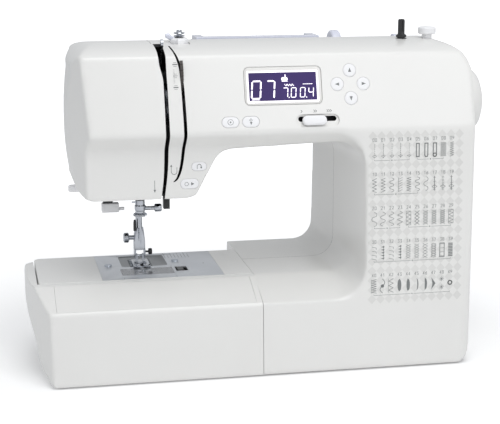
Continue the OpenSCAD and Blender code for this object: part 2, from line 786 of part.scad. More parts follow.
arrow_keys = [[67, 258.2], [67, 235.4], [55.6, 247], [78.4, 247]];
oval_keys = [[-37.3, 218.5], [-20, 218.5]];
reverse_at = [-62.5, 181];
start_at = [-70.6, 166.5];

module arrow_key(i) color(white) {
    on_panel(arrow_keys[i][0], arrow_keys[i][1]) {
        translate([0, 0, -5]) cylinder(h = 5.9, r = arrow_r);
        translate([0, 0, -6]) cylinder(h = 1.2, r = arrow_r + 1.2);
    }
}

module oval_key(i) color(white) {
    on_panel(oval_keys[i][0], oval_keys[i][1]) {
        translate([0, 0, -5]) oval(14.4, 9, 5.9);
        translate([0, 0, -6]) oval(16.6, 11.2, 1.2);
    }
}

module up_key() arrow_key(0);
module down_key() arrow_key(1);
module left_key() arrow_key(2);
module right_key() arrow_key(3);
module needle_key() oval_key(1);
module lock_key() oval_key(0);

module reverse_key() color(white) {
    on_head(reverse_at[0], reverse_at[1]) translate([0, 0, -6]) oval(12.8, 7.4, 7);
}

module start_key() color(white) {
    on_head(start_at[0], start_at[1]) translate([0, 0, -6]) oval(15.4, 8.4, 7);
}

module speed_slider() color(white) {
    on_panel(35, 218) {
        translate([0, 0, 0.4]) oval(21, 8, 2.2);
        span([-5, -2, -6], [5, 2, 0.5]);
    }
}

dial_at = [-47, 255.5];

module tension_dial() color(white) {
    difference() {
        rod_x(-77, -74.6, dial_at[0], dial_at[1], 20);
        for (a = [0:15:345]) translate([0, dial_at[0], dial_at[1]]) rotate([a, 0, 0])
            rod_x(-78, -73, 0, 20.6, 1.2);
        rod_x(-78, -73, dial_at[0], dial_at[1], 3 + fit);
    }
}

// ---------- thread path and top ----------

module thread_guides() color(steel) {
    rod_x(-86, -73, dial_at[0], dial_at[1], 3);
    for (x = [-85, -82]) difference() {
        rod_x(x, x + 1.4, dial_at[0], dial_at[1], 9);
        rod_x(x - 1, x + 3, dial_at[0], dial_at[1], 3);
    }
    span([-78.8, -30.8, 272], [-63.2, -9.2, 282.5]);
    rod_z(-71, -20, 282.4, 291, 1.6);
    for (z = [284, 287]) difference() {
        rod_z(-71, -20, z, z + 1.4, 6.5);
        rod_z(-71, -20, z - 1, z + 3, 1.6);
    }
    span([-83, -22, 283], [-77, -18, 288]);
    span([-83, -22, 280.5], [-75, -18, 283.2]);
}

module spool_pin() color(white) {
    rod_x(76, trough_x[1] - 2, spool_y, spool_z, 3);
    rod_x(trough_x[1] - 3, trough_x[1], spool_y, spool_z, 9);
    rod_x(trough_x[1] - eps, trough_x[1] + wall + 1, spool_y, spool_z, 4);
}

module spool_cap() color(white) {
    difference() {
        union() {
            rod_x(75, 84, spool_y, spool_z, 13.5);
            rod_x(84 - eps, 90, spool_y, spool_z, 6);
        }
        rod_x(74, 91, spool_y, spool_z, 3 + fit);
    }
}

module winder_spindle() color(dark) {
    rod_z(winder_x, winder_y, 255, overall_h, 3);
    rod_z(winder_x, winder_y, 281.5, 283.5, 4.6);
    rod_z(winder_x, winder_y, 257, 263, 15);
}

module winder_stopper() color(white) {
    rod_z(winder_x + 23.5, winder_y, 270, 284, 4.4);
    rod_z(winder_x + 23.5, winder_y, 283.5, 290, 7.8);
}

module carry_handle() color(white) {
    difference() {
        span([handle_x[0] + 1.5, 14.5, 268], [handle_x[1] - 1.5, 51, 281]);
        span([handle_x[0] + 9.5, 25, 260], [handle_x[1] - 9.5, 60, 290]);
        translate([0, 47, 271]) rotate([45, 0, 0]) span([-100, 4.5, -20], [100, 40, 40]);
        span([-100, 40, 277], [100, 60, 290]);
        span([-100, 10, 260], [100, 26, 271]);
    }
    rod_x(handle_x[0] - 1.8, handle_x[0] + 3, 47, 271, 2.5);
    rod_x(handle_x[1] - 3, handle_x[1] + 1.8, 47, 271, 2.5);
}

// ---------- extension table ----------

hinge_at = [-82.4, 64.4];

table_right_x = table_seam_x - seam;

// Front view of the table, as (x, z)
table_front_points = [[-188, floor_gap], [table_right_x, floor_gap], [table_right_x, bed_z],
    [-half_w, bed_z], [-half_w, 60], [-206, 46], [-203, 24], [-198, 7]];

// Side view of the table from the back round to the front, as (y, z)
table_side_points = [[36, -20], [36, 4], [42, 40], [42, bed_z + 5], [arm_front_y - 8, bed_z + 5],
    [arm_front_y - 8, bed_z], [-86, crease_z], [-half_d, 0], [-half_d, -20]];

// Plan view of the table, as (x, y)
table_plan_points = concat(
    [[table_right_x + 1, -half_d - 1], [table_right_x + 1, 50]],
    arc([-188, 24], 18, 90, 165),
    arc([-half_w + 119.5, -10], 120, 170, 206),
    arc([-177, -half_d + 17], 18, 206, 270));

// The table as one mass, shrunk all round by g
module table_mass(g = 0) {
    intersection() {
        through_y() polygon(inset(table_front_points, g));
        along_x(-big / 2, big / 2) polygon(inset(table_side_points, g));
        translate([0, 0, -big / 5]) linear_extrude(big) polygon(inset(table_plan_points, g));
    }
}

module extension_table() color(white) {
    difference() {
        table_mass();
        intersection() {
            table_mass(wall);
            span([-big, -big, 0], [big, arm_front_y - 3.5, big]);
        }
        span([arm_end_x - 1, arm_front_y - 0.6, 8], [0, big, 100]);
        span([-182, arm_front_y, -1], [table_right_x - 4, 33, 5.5]);
        along_x(-185, table_seam_x - 6) polygon([[-83.6, 55], [-83.6, 80], [arm_front_y - 8, 100],
            [arm_front_y - 8, 60]]);
        rod_x(-187.5, table_seam_x - 3.5, hinge_at[0], hinge_at[1], 1);
    }
}

module table_lid() color(white) {
    along_x(-184.6, table_seam_x - 6.4) polygon([[-83.2, 65.2], [arm_front_y - 8.4, bed_z],
        [arm_front_y - 8.4, bed_z - wall], [-83.2, 62.6]]);
    rod_x(-187, table_seam_x - 4, hinge_at[0], hinge_at[1], 0.95);
}

front_cover();
rear_cover();
face_cover();
bottom_plate();
free_arm_cover();
main_frame();
needle_plate();
fasteners();
bobbin_holder();
display_window();
display_module();
circuit_boards();
lamp();
stepper_motors();
main_motor();
thread_guides();
power_sockets();
rubber_feet();
drive_belts();
presser_spring();
spool_pin();
arm_shaft();
handwheel();
connecting_rod();
swing_frame();
needle_bar();
needle_clamp();
needle();
take_up_lever();
presser_bar();
foot_holder();
presser_foot();
presser_lifter();
needle_threader();
buttonhole_lever();
lower_shaft();
rotary_hook();
bobbin();
feed_dog();
motor_pulley();
winder_spindle();
winder_stopper();
carry_handle();
spool_cap();
up_key();
down_key();
left_key();
right_key();
needle_key();
lock_key();
reverse_key();
start_key();
speed_slider();
tension_dial();
extension_table();
table_lid();
hook_cover();
cover_release();
power_switch();
drop_feed_lever();
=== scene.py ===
import json
import logging
import math
from dataclasses import dataclass
from enum import Enum
from typing import Callable, ClassVar, Optional, Sequence

import bmesh
import bpy
from mathutils import Matrix, Vector

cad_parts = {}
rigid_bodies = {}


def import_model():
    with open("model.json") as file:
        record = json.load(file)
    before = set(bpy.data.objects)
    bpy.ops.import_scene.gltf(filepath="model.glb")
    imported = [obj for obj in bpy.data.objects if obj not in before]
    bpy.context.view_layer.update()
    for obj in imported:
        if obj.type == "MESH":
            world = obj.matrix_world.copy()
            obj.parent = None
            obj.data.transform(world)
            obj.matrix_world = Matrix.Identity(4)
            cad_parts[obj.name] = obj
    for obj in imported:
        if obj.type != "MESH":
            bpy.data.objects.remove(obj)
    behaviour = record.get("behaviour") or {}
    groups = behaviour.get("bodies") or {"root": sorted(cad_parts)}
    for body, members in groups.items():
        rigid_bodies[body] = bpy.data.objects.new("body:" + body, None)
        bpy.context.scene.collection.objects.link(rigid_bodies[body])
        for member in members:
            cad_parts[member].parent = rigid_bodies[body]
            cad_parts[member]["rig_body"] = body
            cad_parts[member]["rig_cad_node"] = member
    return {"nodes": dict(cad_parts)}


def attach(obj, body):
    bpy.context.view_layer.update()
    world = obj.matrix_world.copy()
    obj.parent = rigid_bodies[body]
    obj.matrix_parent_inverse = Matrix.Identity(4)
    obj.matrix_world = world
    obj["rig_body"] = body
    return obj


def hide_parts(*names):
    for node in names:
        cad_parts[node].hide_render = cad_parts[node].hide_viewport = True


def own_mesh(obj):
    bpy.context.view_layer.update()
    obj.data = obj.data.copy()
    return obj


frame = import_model()
LOG = logging.getLogger("sewing_machine")

MM = 0.001
Point = tuple[float, float]
Section = tuple[float, list[Point]]

# Driving sizes of the casing, in millimetres, in the frame of the CAD model
BED_Z = 79.5
CREASE_Z = 64.0
CREASE_Y = -86.0
SEAM_X = -11.0
HEAD_FLOOR_Z = 154.0
HEAD_FACE_Y = -68.0
PANEL_LOW = (-79.3, 208.4)
PANEL_TOP = (-60.7, 272.0)
SPLIT_Y = 10.0
FAR = 260.0

# Axes that several pieces share
SHAFT = (4.0, 221.0)
NEEDLE = (-104.0, 4.0)
PRESSER = (-104.0, 16.0)
DIAL_AXIS = (-47.0, 255.5)
SPINDLE = (126.0, -20.0)
STOPPER = (149.5, -20.0)
SPOOL = (35.0, 270.5)
HANDLE = (47.0, 271.0)
GUIDE = (-71.0, -20.0)


# ---------- outlines ----------

def arc(centre: Point, radius: float, start: float, end: float, steps: int = 10) -> list[Point]:
    """Points along an arc.

    Args:
        centre: the arc's centre.
        radius: its radius.
        start: the first angle, in degrees.
        end: the last angle, in degrees.
        steps: how many chords it has.

    Returns:
        The points from start to end.
    """
    angles = [math.radians(start + (end - start) * i / steps) for i in range(steps + 1)]
    return [(centre[0] + radius * math.cos(a), centre[1] + radius * math.sin(a)) for a in angles]


def ellipse_arc(centre: Point, radii: Point, start: float, end: float, steps: int = 10) -> list[Point]:
    """Points along an elliptical arc, as arc gives them for a round one."""
    angles = [math.radians(start + (end - start) * i / steps) for i in range(steps + 1)]
    return [(centre[0] + radii[0] * math.cos(a), centre[1] + radii[1] * math.sin(a)) for a in angles]


def circle(radius: float, steps: int = 48, centre: Point = (0.0, 0.0)) -> list[Point]:
    """Points round a circle, anticlockwise."""
    return arc(centre, radius, 0, 360, steps)[:-1]


def rounded(low: Point, high: Point, radius: float, steps: int = 6) -> list[Point]:
    """A rectangle with round corners, anticlockwise from its right side's foot."""
    r = radius
    return (arc((high[0] - r, low[1] + r), r, -90, 0, steps)
            + arc((high[0] - r, high[1] - r), r, 0, 90, steps)
            + arc((low[0] + r, high[1] - r), r, 90, 180, steps)
            + arc((low[0] + r, low[1] + r), r, 180, 270, steps))


def stadium(width: float, height: float, centre: Point = (0.0, 0.0), steps: int = 12) -> list[Point]:
    """An oval key's outline: a rectangle with half-round ends."""
    w, h = width / 2, height / 2
    return rounded((centre[0] - w, centre[1] - h), (centre[0] + w, centre[1] + h), h - 0.001, steps)


def inset(points: Sequence[Point], gap: float) -> list[Point]:
    """Moves an anticlockwise outline inwards.

    Args:
        points: the outline.
        gap: how far each side moves, outwards where it is negative.

    Returns:
        The moved outline, with as many points.
    """
    moved = []
    count = len(points)
    for i in range(count):
        here = Vector(points[i])
        before = (here - Vector(points[i - 1])).normalized()
        after = (Vector(points[(i + 1) % count]) - here).normalized()
        u, v = Vector((-before.y, before.x)), Vector((-after.y, after.x))
        at = here + gap * (u + v) / max(0.2, 1 + u.dot(v))
        moved.append((at.x, at.y))
    return moved


def smooth_line(knots: Sequence[Point], steps: int = 6) -> list[Point]:
    """A smooth line through knots, as a Catmull-Rom spline.

    Args:
        knots: the points that it passes.
        steps: how many chords stand for each span.

    Returns:
        The line's points.
    """
    line: list[Point] = []
    padded = [knots[0], *knots, knots[-1]]
    for i in range(1, len(padded) - 2):
        a, b, c, d = (Vector(p) for p in padded[i - 1:i + 3])
        for s in range(steps):
            t = s / steps
            p = 0.5 * (2 * b + (c - a) * t + (2 * a - 5 * b + 4 * c - d) * t ** 2
                       + (3 * b - a - 3 * c + d) * t ** 3)
            line.append((p.x, p.y))
    line.append(tuple(knots[-1]))
    return line


class Along(Enum):
    """The axis that an outline is extruded along."""

    X = 0
    Y = 1
    Z = 2

    def place(self, u: float, v: float, at: float) -> Vector:
        """The point u across and v up the outline's plane, in metres."""
        order = {Along.X: (at, u, v), Along.Y: (u, at, v), Along.Z: (u, v, at)}[self]
        return Vector(order) * MM


# ---------- workshop ----------

def activate(piece: bpy.types.Object) -> None:
    """Makes piece the only selected object, and the active one."""
    bpy.ops.object.select_all(action="DESELECT")
    piece.select_set(True)
    bpy.context.view_layer.objects.active = piece


def loft(name: str, along: Along, sections: Sequence[Section],
         finish: Optional["Finish"] = None) -> bpy.types.Object:
    """Builds a closed body by extruding a filled outline from section to section.

    Args:
        name: the piece's name.
        along: the axis that the sections follow.
        sections: each section's place on the axis and its outline, all with as many points.
        finish: the material that it gets.

    Returns:
        The new piece.
    """
    first_at, first = sections[0]
    bpy.ops.object.select_all(action="DESELECT")
    bpy.ops.mesh.primitive_circle_add(vertices=len(first), radius=MM, fill_type="NGON")
    piece = bpy.context.object
    piece.name = piece.data.name = name
    for vertex, (u, v) in zip(piece.data.vertices, first):
        vertex.co = along.place(u, v, first_at)
    bpy.ops.object.mode_set(mode="EDIT")
    bpy.ops.mesh.select_all(action="SELECT")
    last_at, last = first_at, first
    for at, outline in sections[1:]:
        where = {tuple(round(c, 7) for c in along.place(u, v, last_at)): i for i, (u, v) in enumerate(last)}
        bpy.ops.mesh.extrude_region_move(TRANSFORM_OT_translate={"value": (0, 0, 0)})
        edited = bmesh.from_edit_mesh(piece.data)
        for vertex in edited.verts:
            if vertex.select:
                index = where[tuple(round(c, 7) for c in vertex.co)]
                vertex.co = along.place(*outline[index], at)
        bmesh.update_edit_mesh(piece.data)
        last_at, last = at, outline
    bpy.ops.mesh.select_all(action="SELECT")
    bpy.ops.mesh.normals_make_consistent(inside=False)
    bpy.ops.object.mode_set(mode="OBJECT")
    if finish:
        piece.data.materials.append(finish.material())
    return piece


def prism(name: str, along: Along, outline: Sequence[Point], low: float, high: float,
          finish: Optional["Finish"] = None) -> bpy.types.Object:
    """A straight extrusion of one outline, from low to high along its axis."""
    return loft(name, along, [(low, list(outline)), (high, list(outline))], finish)


def block(name: str, low: Sequence[float], high: Sequence[float],
          finish: Optional["Finish"] = None) -> bpy.types.Object:
    """A block between two corners, in millimetres."""
    corners = [(low[0], low[1]), (high[0], low[1]), (high[0], high[1]), (low[0], high[1])]
    return prism(name, Along.Z, corners, low[2], high[2], finish)


def turned(name: str, along: Along, centre: Point, profile: Sequence[Point],
           finish: Optional["Finish"] = None,
           steps: int = 48) -> bpy.types.Object:
    """A turned body.

    Args:
        name: the piece's name.
        along: its axis's direction.
        centre: where the axis crosses the plane of the other two axes.
        profile: (radius, place along the axis) from one end to the other.
        finish: the material that it gets.
        steps: how many sides it has.

    Returns:
        The new piece.
    """
    sections = [(at, circle(max(radius, 0.02), steps, centre)) for radius, at in profile]
    return loft(name, along, sections, finish)


def modify(piece: bpy.types.Object, kind: str, **settings: object) -> bpy.types.Object:
    """Adds a modifier, sets it up and applies it.

    Args:
        piece: what is modified.
        kind: the modifier's type.
        settings: its properties.

    Returns:
        The piece.
    """
    activate(piece)
    modifier = piece.modifiers.new(kind.lower(), kind)
    for key, value in settings.items():
        setattr(modifier, key, value)
    bpy.ops.object.modifier_apply(modifier=modifier.name)
    return piece


def carve(piece: bpy.types.Object, *cutters: bpy.types.Object, operation: str = "DIFFERENCE",
          solver: str = "MANIFOLD") -> bpy.types.Object:
    """Cuts, joins or intersects piece with cutters, and removes them."""
    for cutter in cutters:
        modify(piece, "BOOLEAN", object=cutter, operation=operation, solver=solver, material_mode="TRANSFER")
        bpy.data.objects.remove(cutter)
    return piece


def copy_of(piece: bpy.types.Object, name: str) -> bpy.types.Object:
    """A copy of piece with its own mesh."""
    twin = piece.copy()
    twin.data = piece.data.copy()
    twin.name = twin.data.name = name
    bpy.context.scene.collection.objects.link(twin)
    return twin


def soften(piece: bpy.types.Object, voxel: float, rounds: int) -> bpy.types.Object:
    """Rounds every edge of a body, as a mould does.

    Args:
        piece: a closed body.
        voxel: the grain of its new mesh, in millimetres.
        rounds: how many times it is smoothed.

    Returns:
        The piece.
    """
    modify(piece, "REMESH", mode="VOXEL", voxel_size=voxel * MM, use_smooth_shade=True)
    return modify(piece, "SMOOTH", factor=0.5, iterations=rounds)


def ease(piece: bpy.types.Object, width: float, segments: int = 3, angle: float = 35.0) -> bpy.types.Object:
    """Rounds a piece's sharp edges by width millimetres and shades it smooth."""
    modify(piece, "BEVEL", width=width * MM, segments=segments, limit_method="ANGLE",
           angle_limit=math.radians(angle), use_clamp_overlap=True)
    return shade(piece)


def shade(piece: bpy.types.Object, angle: float = 32.0) -> bpy.types.Object:
    """Shades a piece smooth, but for edges sharper than angle."""
    activate(piece)
    bpy.ops.object.shade_smooth_by_angle(angle=math.radians(angle))
    return piece


def seat(piece: bpy.types.Object, matrix: Matrix) -> bpy.types.Object:
    """Moves a piece's mesh by matrix, so that its object stays at the origin."""
    piece.data.transform(matrix)
    return piece


def fit(piece: bpy.types.Object, body: str, slot: str, *nodes: str) -> bpy.types.Object:
    """Ties a finished piece to the frame.

    Args:
        piece: the piece.
        body: the CAD body that it rides on.
        slot: the record's material slot; not used.
        nodes: the CAD nodes that it stands for.

    Returns:
        The piece.
    """
    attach(piece, body)
    if nodes:
        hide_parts(*nodes)
    LOG.info("%s rides on %s with %d faces", piece.name, body, len(piece.data.polygons))
    return piece


# ---------- finishes ----------

class Grain(Enum):
    """The fine pattern in a finish's surface."""

    SPARK = "spark-eroded plastic"
    BRUSHED = "brushed along X"
    CAST = "sand-cast"
    POLISHED = "polished"
    LAMP = "lit from behind"
    BOARD = "printed circuit"


@dataclass(frozen=True)
class Finish:
    """A procedural surface: a colour that drifts a little, a grain, and a gloss that wanders."""

    name: str
    colour: tuple[float, float, float]
    roughness: float = 0.35
    metallic: float = 0.0
    grain: Grain = Grain.SPARK
    drift: float = 0.03
    depth: float = 0.05
    coat: float = 0.0
    transmission: float = 0.0
    glow: float = 0.0

    def material(self) -> bpy.types.Material:
        """The Blender material, made the first time it is asked for."""
        known = bpy.data.materials.get(self.name)
        if known:
            return known
        made = bpy.data.materials.new(self.name)
        made.use_nodes = True
        made.diffuse_color = (*self.colour, 1.0)
        self._wire(made.node_tree)
        return made

    def _scales(self) -> tuple[float, tuple[float, float, float]]:
        """The grain's noise scale, and how it is stretched."""
        return {Grain.SPARK: (1500.0, (1, 1, 1)), Grain.BRUSHED: (900.0, (0.03, 1, 1)),
                Grain.CAST: (420.0, (1, 1, 1)), Grain.POLISHED: (160.0, (1, 1, 0.2)),
                Grain.LAMP: (700.0, (1, 1, 1)), Grain.BOARD: (260.0, (1, 1, 1))}[self.grain]

    def _wire(self, tree: bpy.types.NodeTree) -> None:
        """Wires the colour, gloss and bump into the shader."""
        links = tree.links

        def add(kind: str, **values: object) -> bpy.types.Node:
            """A new node, with its inputs set."""
            node = tree.nodes.new(f"ShaderNode{kind}")
            for key, value in values.items():
                node.inputs[key.replace("_", " ")].default_value = value
            return node

        shader = tree.nodes["Principled BSDF"]
        for key, value in (("Metallic", self.metallic), ("Coat Weight", self.coat), ("Coat Roughness", 0.12),
                           ("Transmission Weight", self.transmission)):
            shader.inputs[key].default_value = value
        scale, factors = self._scales()
        coords, stretch = add("TexCoord"), add("Mapping", Scale=factors)
        links.new(coords.outputs["Object"], stretch.inputs["Vector"])
        broad, fine = add("TexNoise", Scale=14.0, Detail=4.0), add("TexNoise", Scale=scale, Detail=3.0)
        links.new(coords.outputs["Object"], broad.inputs["Vector"])
        links.new(stretch.outputs["Vector"], fine.inputs["Vector"])

        tint = add("ValToRGB")
        for stop, at, share in zip(tint.color_ramp.elements, (0.3, 0.7), (1 - self.drift, 1 + self.drift)):
            stop.position = at
            stop.color = (*(min(1.0, c * share) for c in self.colour), 1.0)
        links.new(broad.outputs["Fac"], tint.inputs["Fac"])
        links.new(tint.outputs["Color"], shader.inputs["Base Color"])

        gloss = add("MapRange", To_Min=max(0.02, self.roughness - 0.06),
                    To_Max=min(1.0, self.roughness + 0.06))
        links.new(fine.outputs["Fac"], gloss.inputs["Value"])
        links.new(gloss.outputs["Result"], shader.inputs["Roughness"])
        if self.depth > 0:
            bump = add("Bump", Strength=self.depth, Distance=0.0002)
            links.new(fine.outputs["Fac"], bump.inputs["Height"])
            links.new(bump.outputs["Normal"], shader.inputs["Normal"])
        if self.glow > 0:
            links.new(tint.outputs["Color"], shader.inputs["Emission Color"])
            shader.inputs["Emission Strength"].default_value = self.glow


SHELL = Finish("moulded_white", (0.80, 0.795, 0.775), 0.30, drift=0.012, depth=0.04, coat=0.25)
# Near-black; it is also put on the sheet behind the speed slider's slot as painted shade.
INSIDE = Finish("casing_inside", (0.035, 0.035, 0.038), 0.7, drift=0.1)
KEYCAP = Finish("key_white", (0.765, 0.76, 0.745), 0.26, drift=0.01, depth=0.03, coat=0.3)
PALE = Finish("pale_lavender_plastic", (0.70, 0.72, 0.82), 0.25, drift=0.02, depth=0.03, coat=0.3)
BLACK = Finish("black_plastic", (0.02, 0.02, 0.022), 0.35, drift=0.12, depth=0.08, coat=0.1)
STEEL = Finish("satin_steel", (0.62, 0.66, 0.71), 0.28, 1.0, Grain.BRUSHED, 0.04, 0.10)
PLATE = Finish("needle_plate_steel", (0.69, 0.71, 0.74), 0.33, 0.85, Grain.BRUSHED, 0.04, 0.12)
CHROME = Finish("polished_chrome", (0.52, 0.54, 0.58), 0.12, 1.0, Grain.POLISHED, 0.04, 0.02)
ALLOY = Finish("cast_alloy", (0.52, 0.53, 0.54), 0.5, 0.9, Grain.CAST, 0.08, 0.35)
RUBBER = Finish("rubber", (0.03, 0.03, 0.03), 0.75, drift=0.15, depth=0.3)
CLEAR = Finish("clear_plastic", (0.86, 0.88, 0.92), 0.08, drift=0.01, depth=0.0, transmission=0.85)
BOARD = Finish("circuit_board", (0.04, 0.22, 0.10), 0.4, grain=Grain.BOARD, drift=0.3, depth=0.3)
MOTOR = Finish("motor_paint", (0.06, 0.06, 0.07), 0.4, 0.3, Grain.CAST, 0.1, 0.15)
LENS = Finish("lamp_lens", (0.95, 0.93, 0.85), 0.3, grain=Grain.LAMP, drift=0.02, glow=0.6)
DIAL = Finish("dial_plastic", (0.05, 0.042, 0.038), 0.5, drift=0.1, depth=0.2)
PLATE_DARK = Finish("plate_inset", (0.34, 0.35, 0.36), 0.42, 0.8, Grain.BRUSHED, 0.08, 0.2)
INK = Finish("grey_ink", (0.20, 0.21, 0.21), 0.5, drift=0.06, depth=0.02)
PALE_INK = Finish("pale_ink", (0.715, 0.71, 0.69), 0.4, drift=0.03, depth=0.02)
VIOLET = Finish("screen_violet", (0.026, 0.010, 0.095), 0.6, grain=Grain.LAMP, drift=0.3, depth=0.0, glow=0.2)
DIGIT = Finish("screen_digits", (0.90, 0.86, 0.92), 0.3, grain=Grain.LAMP, drift=0.02, glow=0.9)
BEZEL = Finish("screen_bezel", (0.73, 0.72, 0.695), 0.25, drift=0.015, depth=0.02, coat=0.4)

NODE_FINISHES: dict[Finish, str] = {
    SHELL: "front_cover rear_cover face_cover free_arm_cover handwheel carry_handle extension_table table_lid",
    BLACK: "bottom_plate bobbin_holder cover_release power_switch drop_feed_lever power_sockets presser_lifter "
           "winder_spindle",
    STEEL: "fasteners arm_shaft connecting_rod lower_shaft rotary_hook feed_dog motor_pulley stepper_motors "
           "thread_guides",
    PLATE: "needle_plate",
    CHROME: "needle_bar needle_clamp needle take_up_lever presser_bar foot_holder presser_foot presser_spring",
    ALLOY: "main_frame swing_frame",
    RUBBER: "rubber_feet drive_belts",
    CLEAR: "display_window hook_cover bobbin",
    VIOLET: "display_module",
    BOARD: "circuit_boards",
    MOTOR: "main_motor",
    LENS: "lamp",
    KEYCAP: "up_key down_key left_key right_key needle_key lock_key reverse_key start_key speed_slider "
            "needle_threader buttonhole_lever",
    DIAL: "tension_dial",
    PALE: "spool_pin spool_cap winder_stopper",
}


def dress_nodes() -> None:
    """Gives every CAD node its finish."""
    for finish, names in NODE_FINISHES.items():
        for name in names.split():
            piece = frame["nodes"][name]
            piece.data.materials.clear()
            piece.data.materials.append(finish.material())


# ---------- casing ----------

@dataclass
class Casing:
    """The white casing over the base, pillar, arm and head, in three covers with a wall and seams."""

    solid: ClassVar[Optional[bpy.types.Object]] = None
    wall: float = 2.6
    seam: float = 0.28
    voxel: float = 2.0
    rounds: int = 8
    head_left: float = -168.9
    pillar_right: float = 177.0
    half_depth: float = 88.8
    top: float = 280.6

    def front_outline(self) -> list[Point]:
        """The casing's outer edge seen from the front, without the throat, as (x, z)."""
        right, left, top = self.pillar_right, self.head_left, self.top
        return ([(-150, 1.0)] + arc((right - 15, 15), 14, -90, 0) + arc((right - 30, top - 30), 30, 8, 82)
                + arc((left + 27, top - 25), 25, 95, 165) + arc((left + 240, 214), 240, 168.6, 191.8, 12)
                + arc((left + 18, HEAD_FLOOR_Z + 14), 14, 190, 262))

    def side_outline(self) -> list[Point]:
        """The casing seen from the side, as (y, z), from the back round to the front."""
        back = smooth_line([(self.half_depth, -20), (self.half_depth, 20), (87, 60), (84, 110), (79.5, 190),
                            (75.5, 232), (69, 256), (57, 269.5), (40, 276), (15, 279.4), (-8, self.top),
                            (-28, 279.8), (-44, 277.8), (-54, 275.2), PANEL_TOP], 4)
        return back + [PANEL_LOW, (CREASE_Y, CREASE_Z), (-self.half_depth, 0), (-self.half_depth, -20)]

    def plan_outline(self) -> list[Point]:
        """The casing seen from above, as (x, y)."""
        right, left, deep = self.pillar_right, self.head_left, self.half_depth
        return (arc((right - 19, -deep + 18), 19.5, -90, 0, 14) + arc((right - 23, deep - 22), 24, 0, 90, 14)
                + arc((-128, 50), 32, 90, 155, 12) + arc((left + 110, -6), 111, 158, 198, 12)
                + arc((-133, -deep + 22), 24, 205, 270, 12))

    def throat(self, y: float, gap: float) -> tuple[float, float, float, Point, Point]:
        """The throat's right side, top, bottom and corner radii at y, all grown by gap."""
        stations = [(-110.0, 80.2, 242.0, 54.9, (51, 66), (29, 29)),
                    (HEAD_FACE_Y, 77.6, 196.0, 70.8, (19, 20), (23, 23)),
                    (-45.0, 76.6, 194.5, BED_Z, (18, 18), (18, 18)),
                    (110.0, 70.0, 194.0, BED_Z, (18, 18), (18, 18))]
        for before, after in zip(stations, stations[1:]):
            if y <= after[0]:
                break
        t = (y - before[0]) / (after[0] - before[0])
        mix = [a + (b - a) * t for a, b in zip(before[1:4], after[1:4])]
        corners = [tuple(a + (b - a) * t - gap * 0.5 for a, b in zip(before[i], after[i])) for i in (4, 5)]
        return mix[0] + gap, mix[1] + gap, mix[2] - gap, corners[0], corners[1]

    def throat_edge(self, y: float, gap: float, base_left: float) -> list[Point]:
        """The throat's outline at y from the base's left end round to the arm's underside."""
        right, top, bottom, upper, lower = self.throat(y, gap)
        return ([(-FAR, -FAR / 10), (base_left, -FAR / 10), (base_left, bottom)]
                + ellipse_arc((right - lower[0], bottom + lower[1]), lower, -90, 0)
                + ellipse_arc((right - upper[0], top - upper[1]), upper, 0, 90))

    def mass(self, name: str, gap: float, base_left: float, finish: Finish) -> bpy.types.Object:
        """The casing as one solid body.

        Args:
            name: the body's name.
            gap: how far it is shrunk all round.
            base_left: where the base ends on the left.
            finish: its material.

        Returns:
            The body, with sharp edges.
        """
        body = prism(name, Along.Y, inset(self.front_outline(), gap), -FAR, FAR, finish)
        side = prism("side", Along.X, inset(self.side_outline(), gap), -FAR, FAR, finish)
        plan = prism("plan", Along.Z, inset(self.plan_outline(), gap), -50, 2 * FAR, finish)
        carve(body, side, plan, operation="INTERSECT")
        front = []
        for y in (-110.0, HEAD_FACE_Y + gap):
            edge = self.throat_edge(y, gap, base_left)
            front.append((y, edge + [(-FAR, self.throat(y, gap)[1])]))
        floor = HEAD_FLOOR_Z + gap
        head = (arc((-34, self.throat(0, gap)[1] - 17), 17, 90, 152, 5)
                + arc((-71, floor + 9), 9, -30, -90, 5) + [(-FAR, floor)])
        rear = [(y, self.throat_edge(y, gap, base_left) + head) for y in (HEAD_FACE_Y - 2, -45.0, 110.0)]
        return carve(body, loft("front_throat", Along.Y, front, finish),
                     loft("rear_throat", Along.Y, rear, finish))

    def slot_lines(self) -> tuple[list[Point], list[Point]]:
        """The left and right edges of the take-up slot, as (x, z) from the bottom to the top."""
        left = smooth_line([(-95.2, 148), (-93.8, 160), (-92.4, 172), (-91.7, 187), (-91.4, 214),
                            (-91.4, 248),
                            (-91.9, 256), (-93.6, 263), (-94.6, 270), (-95.0, 284), (-95.0, 300)])
        right = smooth_line([(-92.4, 148), (-91.0, 160), (-89.4, 172), (-88.3, 187), (-88.0, 214),
                             (-88.2, 248),
                             (-88.4, 256), (-88.5, 263), (-88.5, 270), (-88.5, 284), (-88.5, 300)])
        return left, right

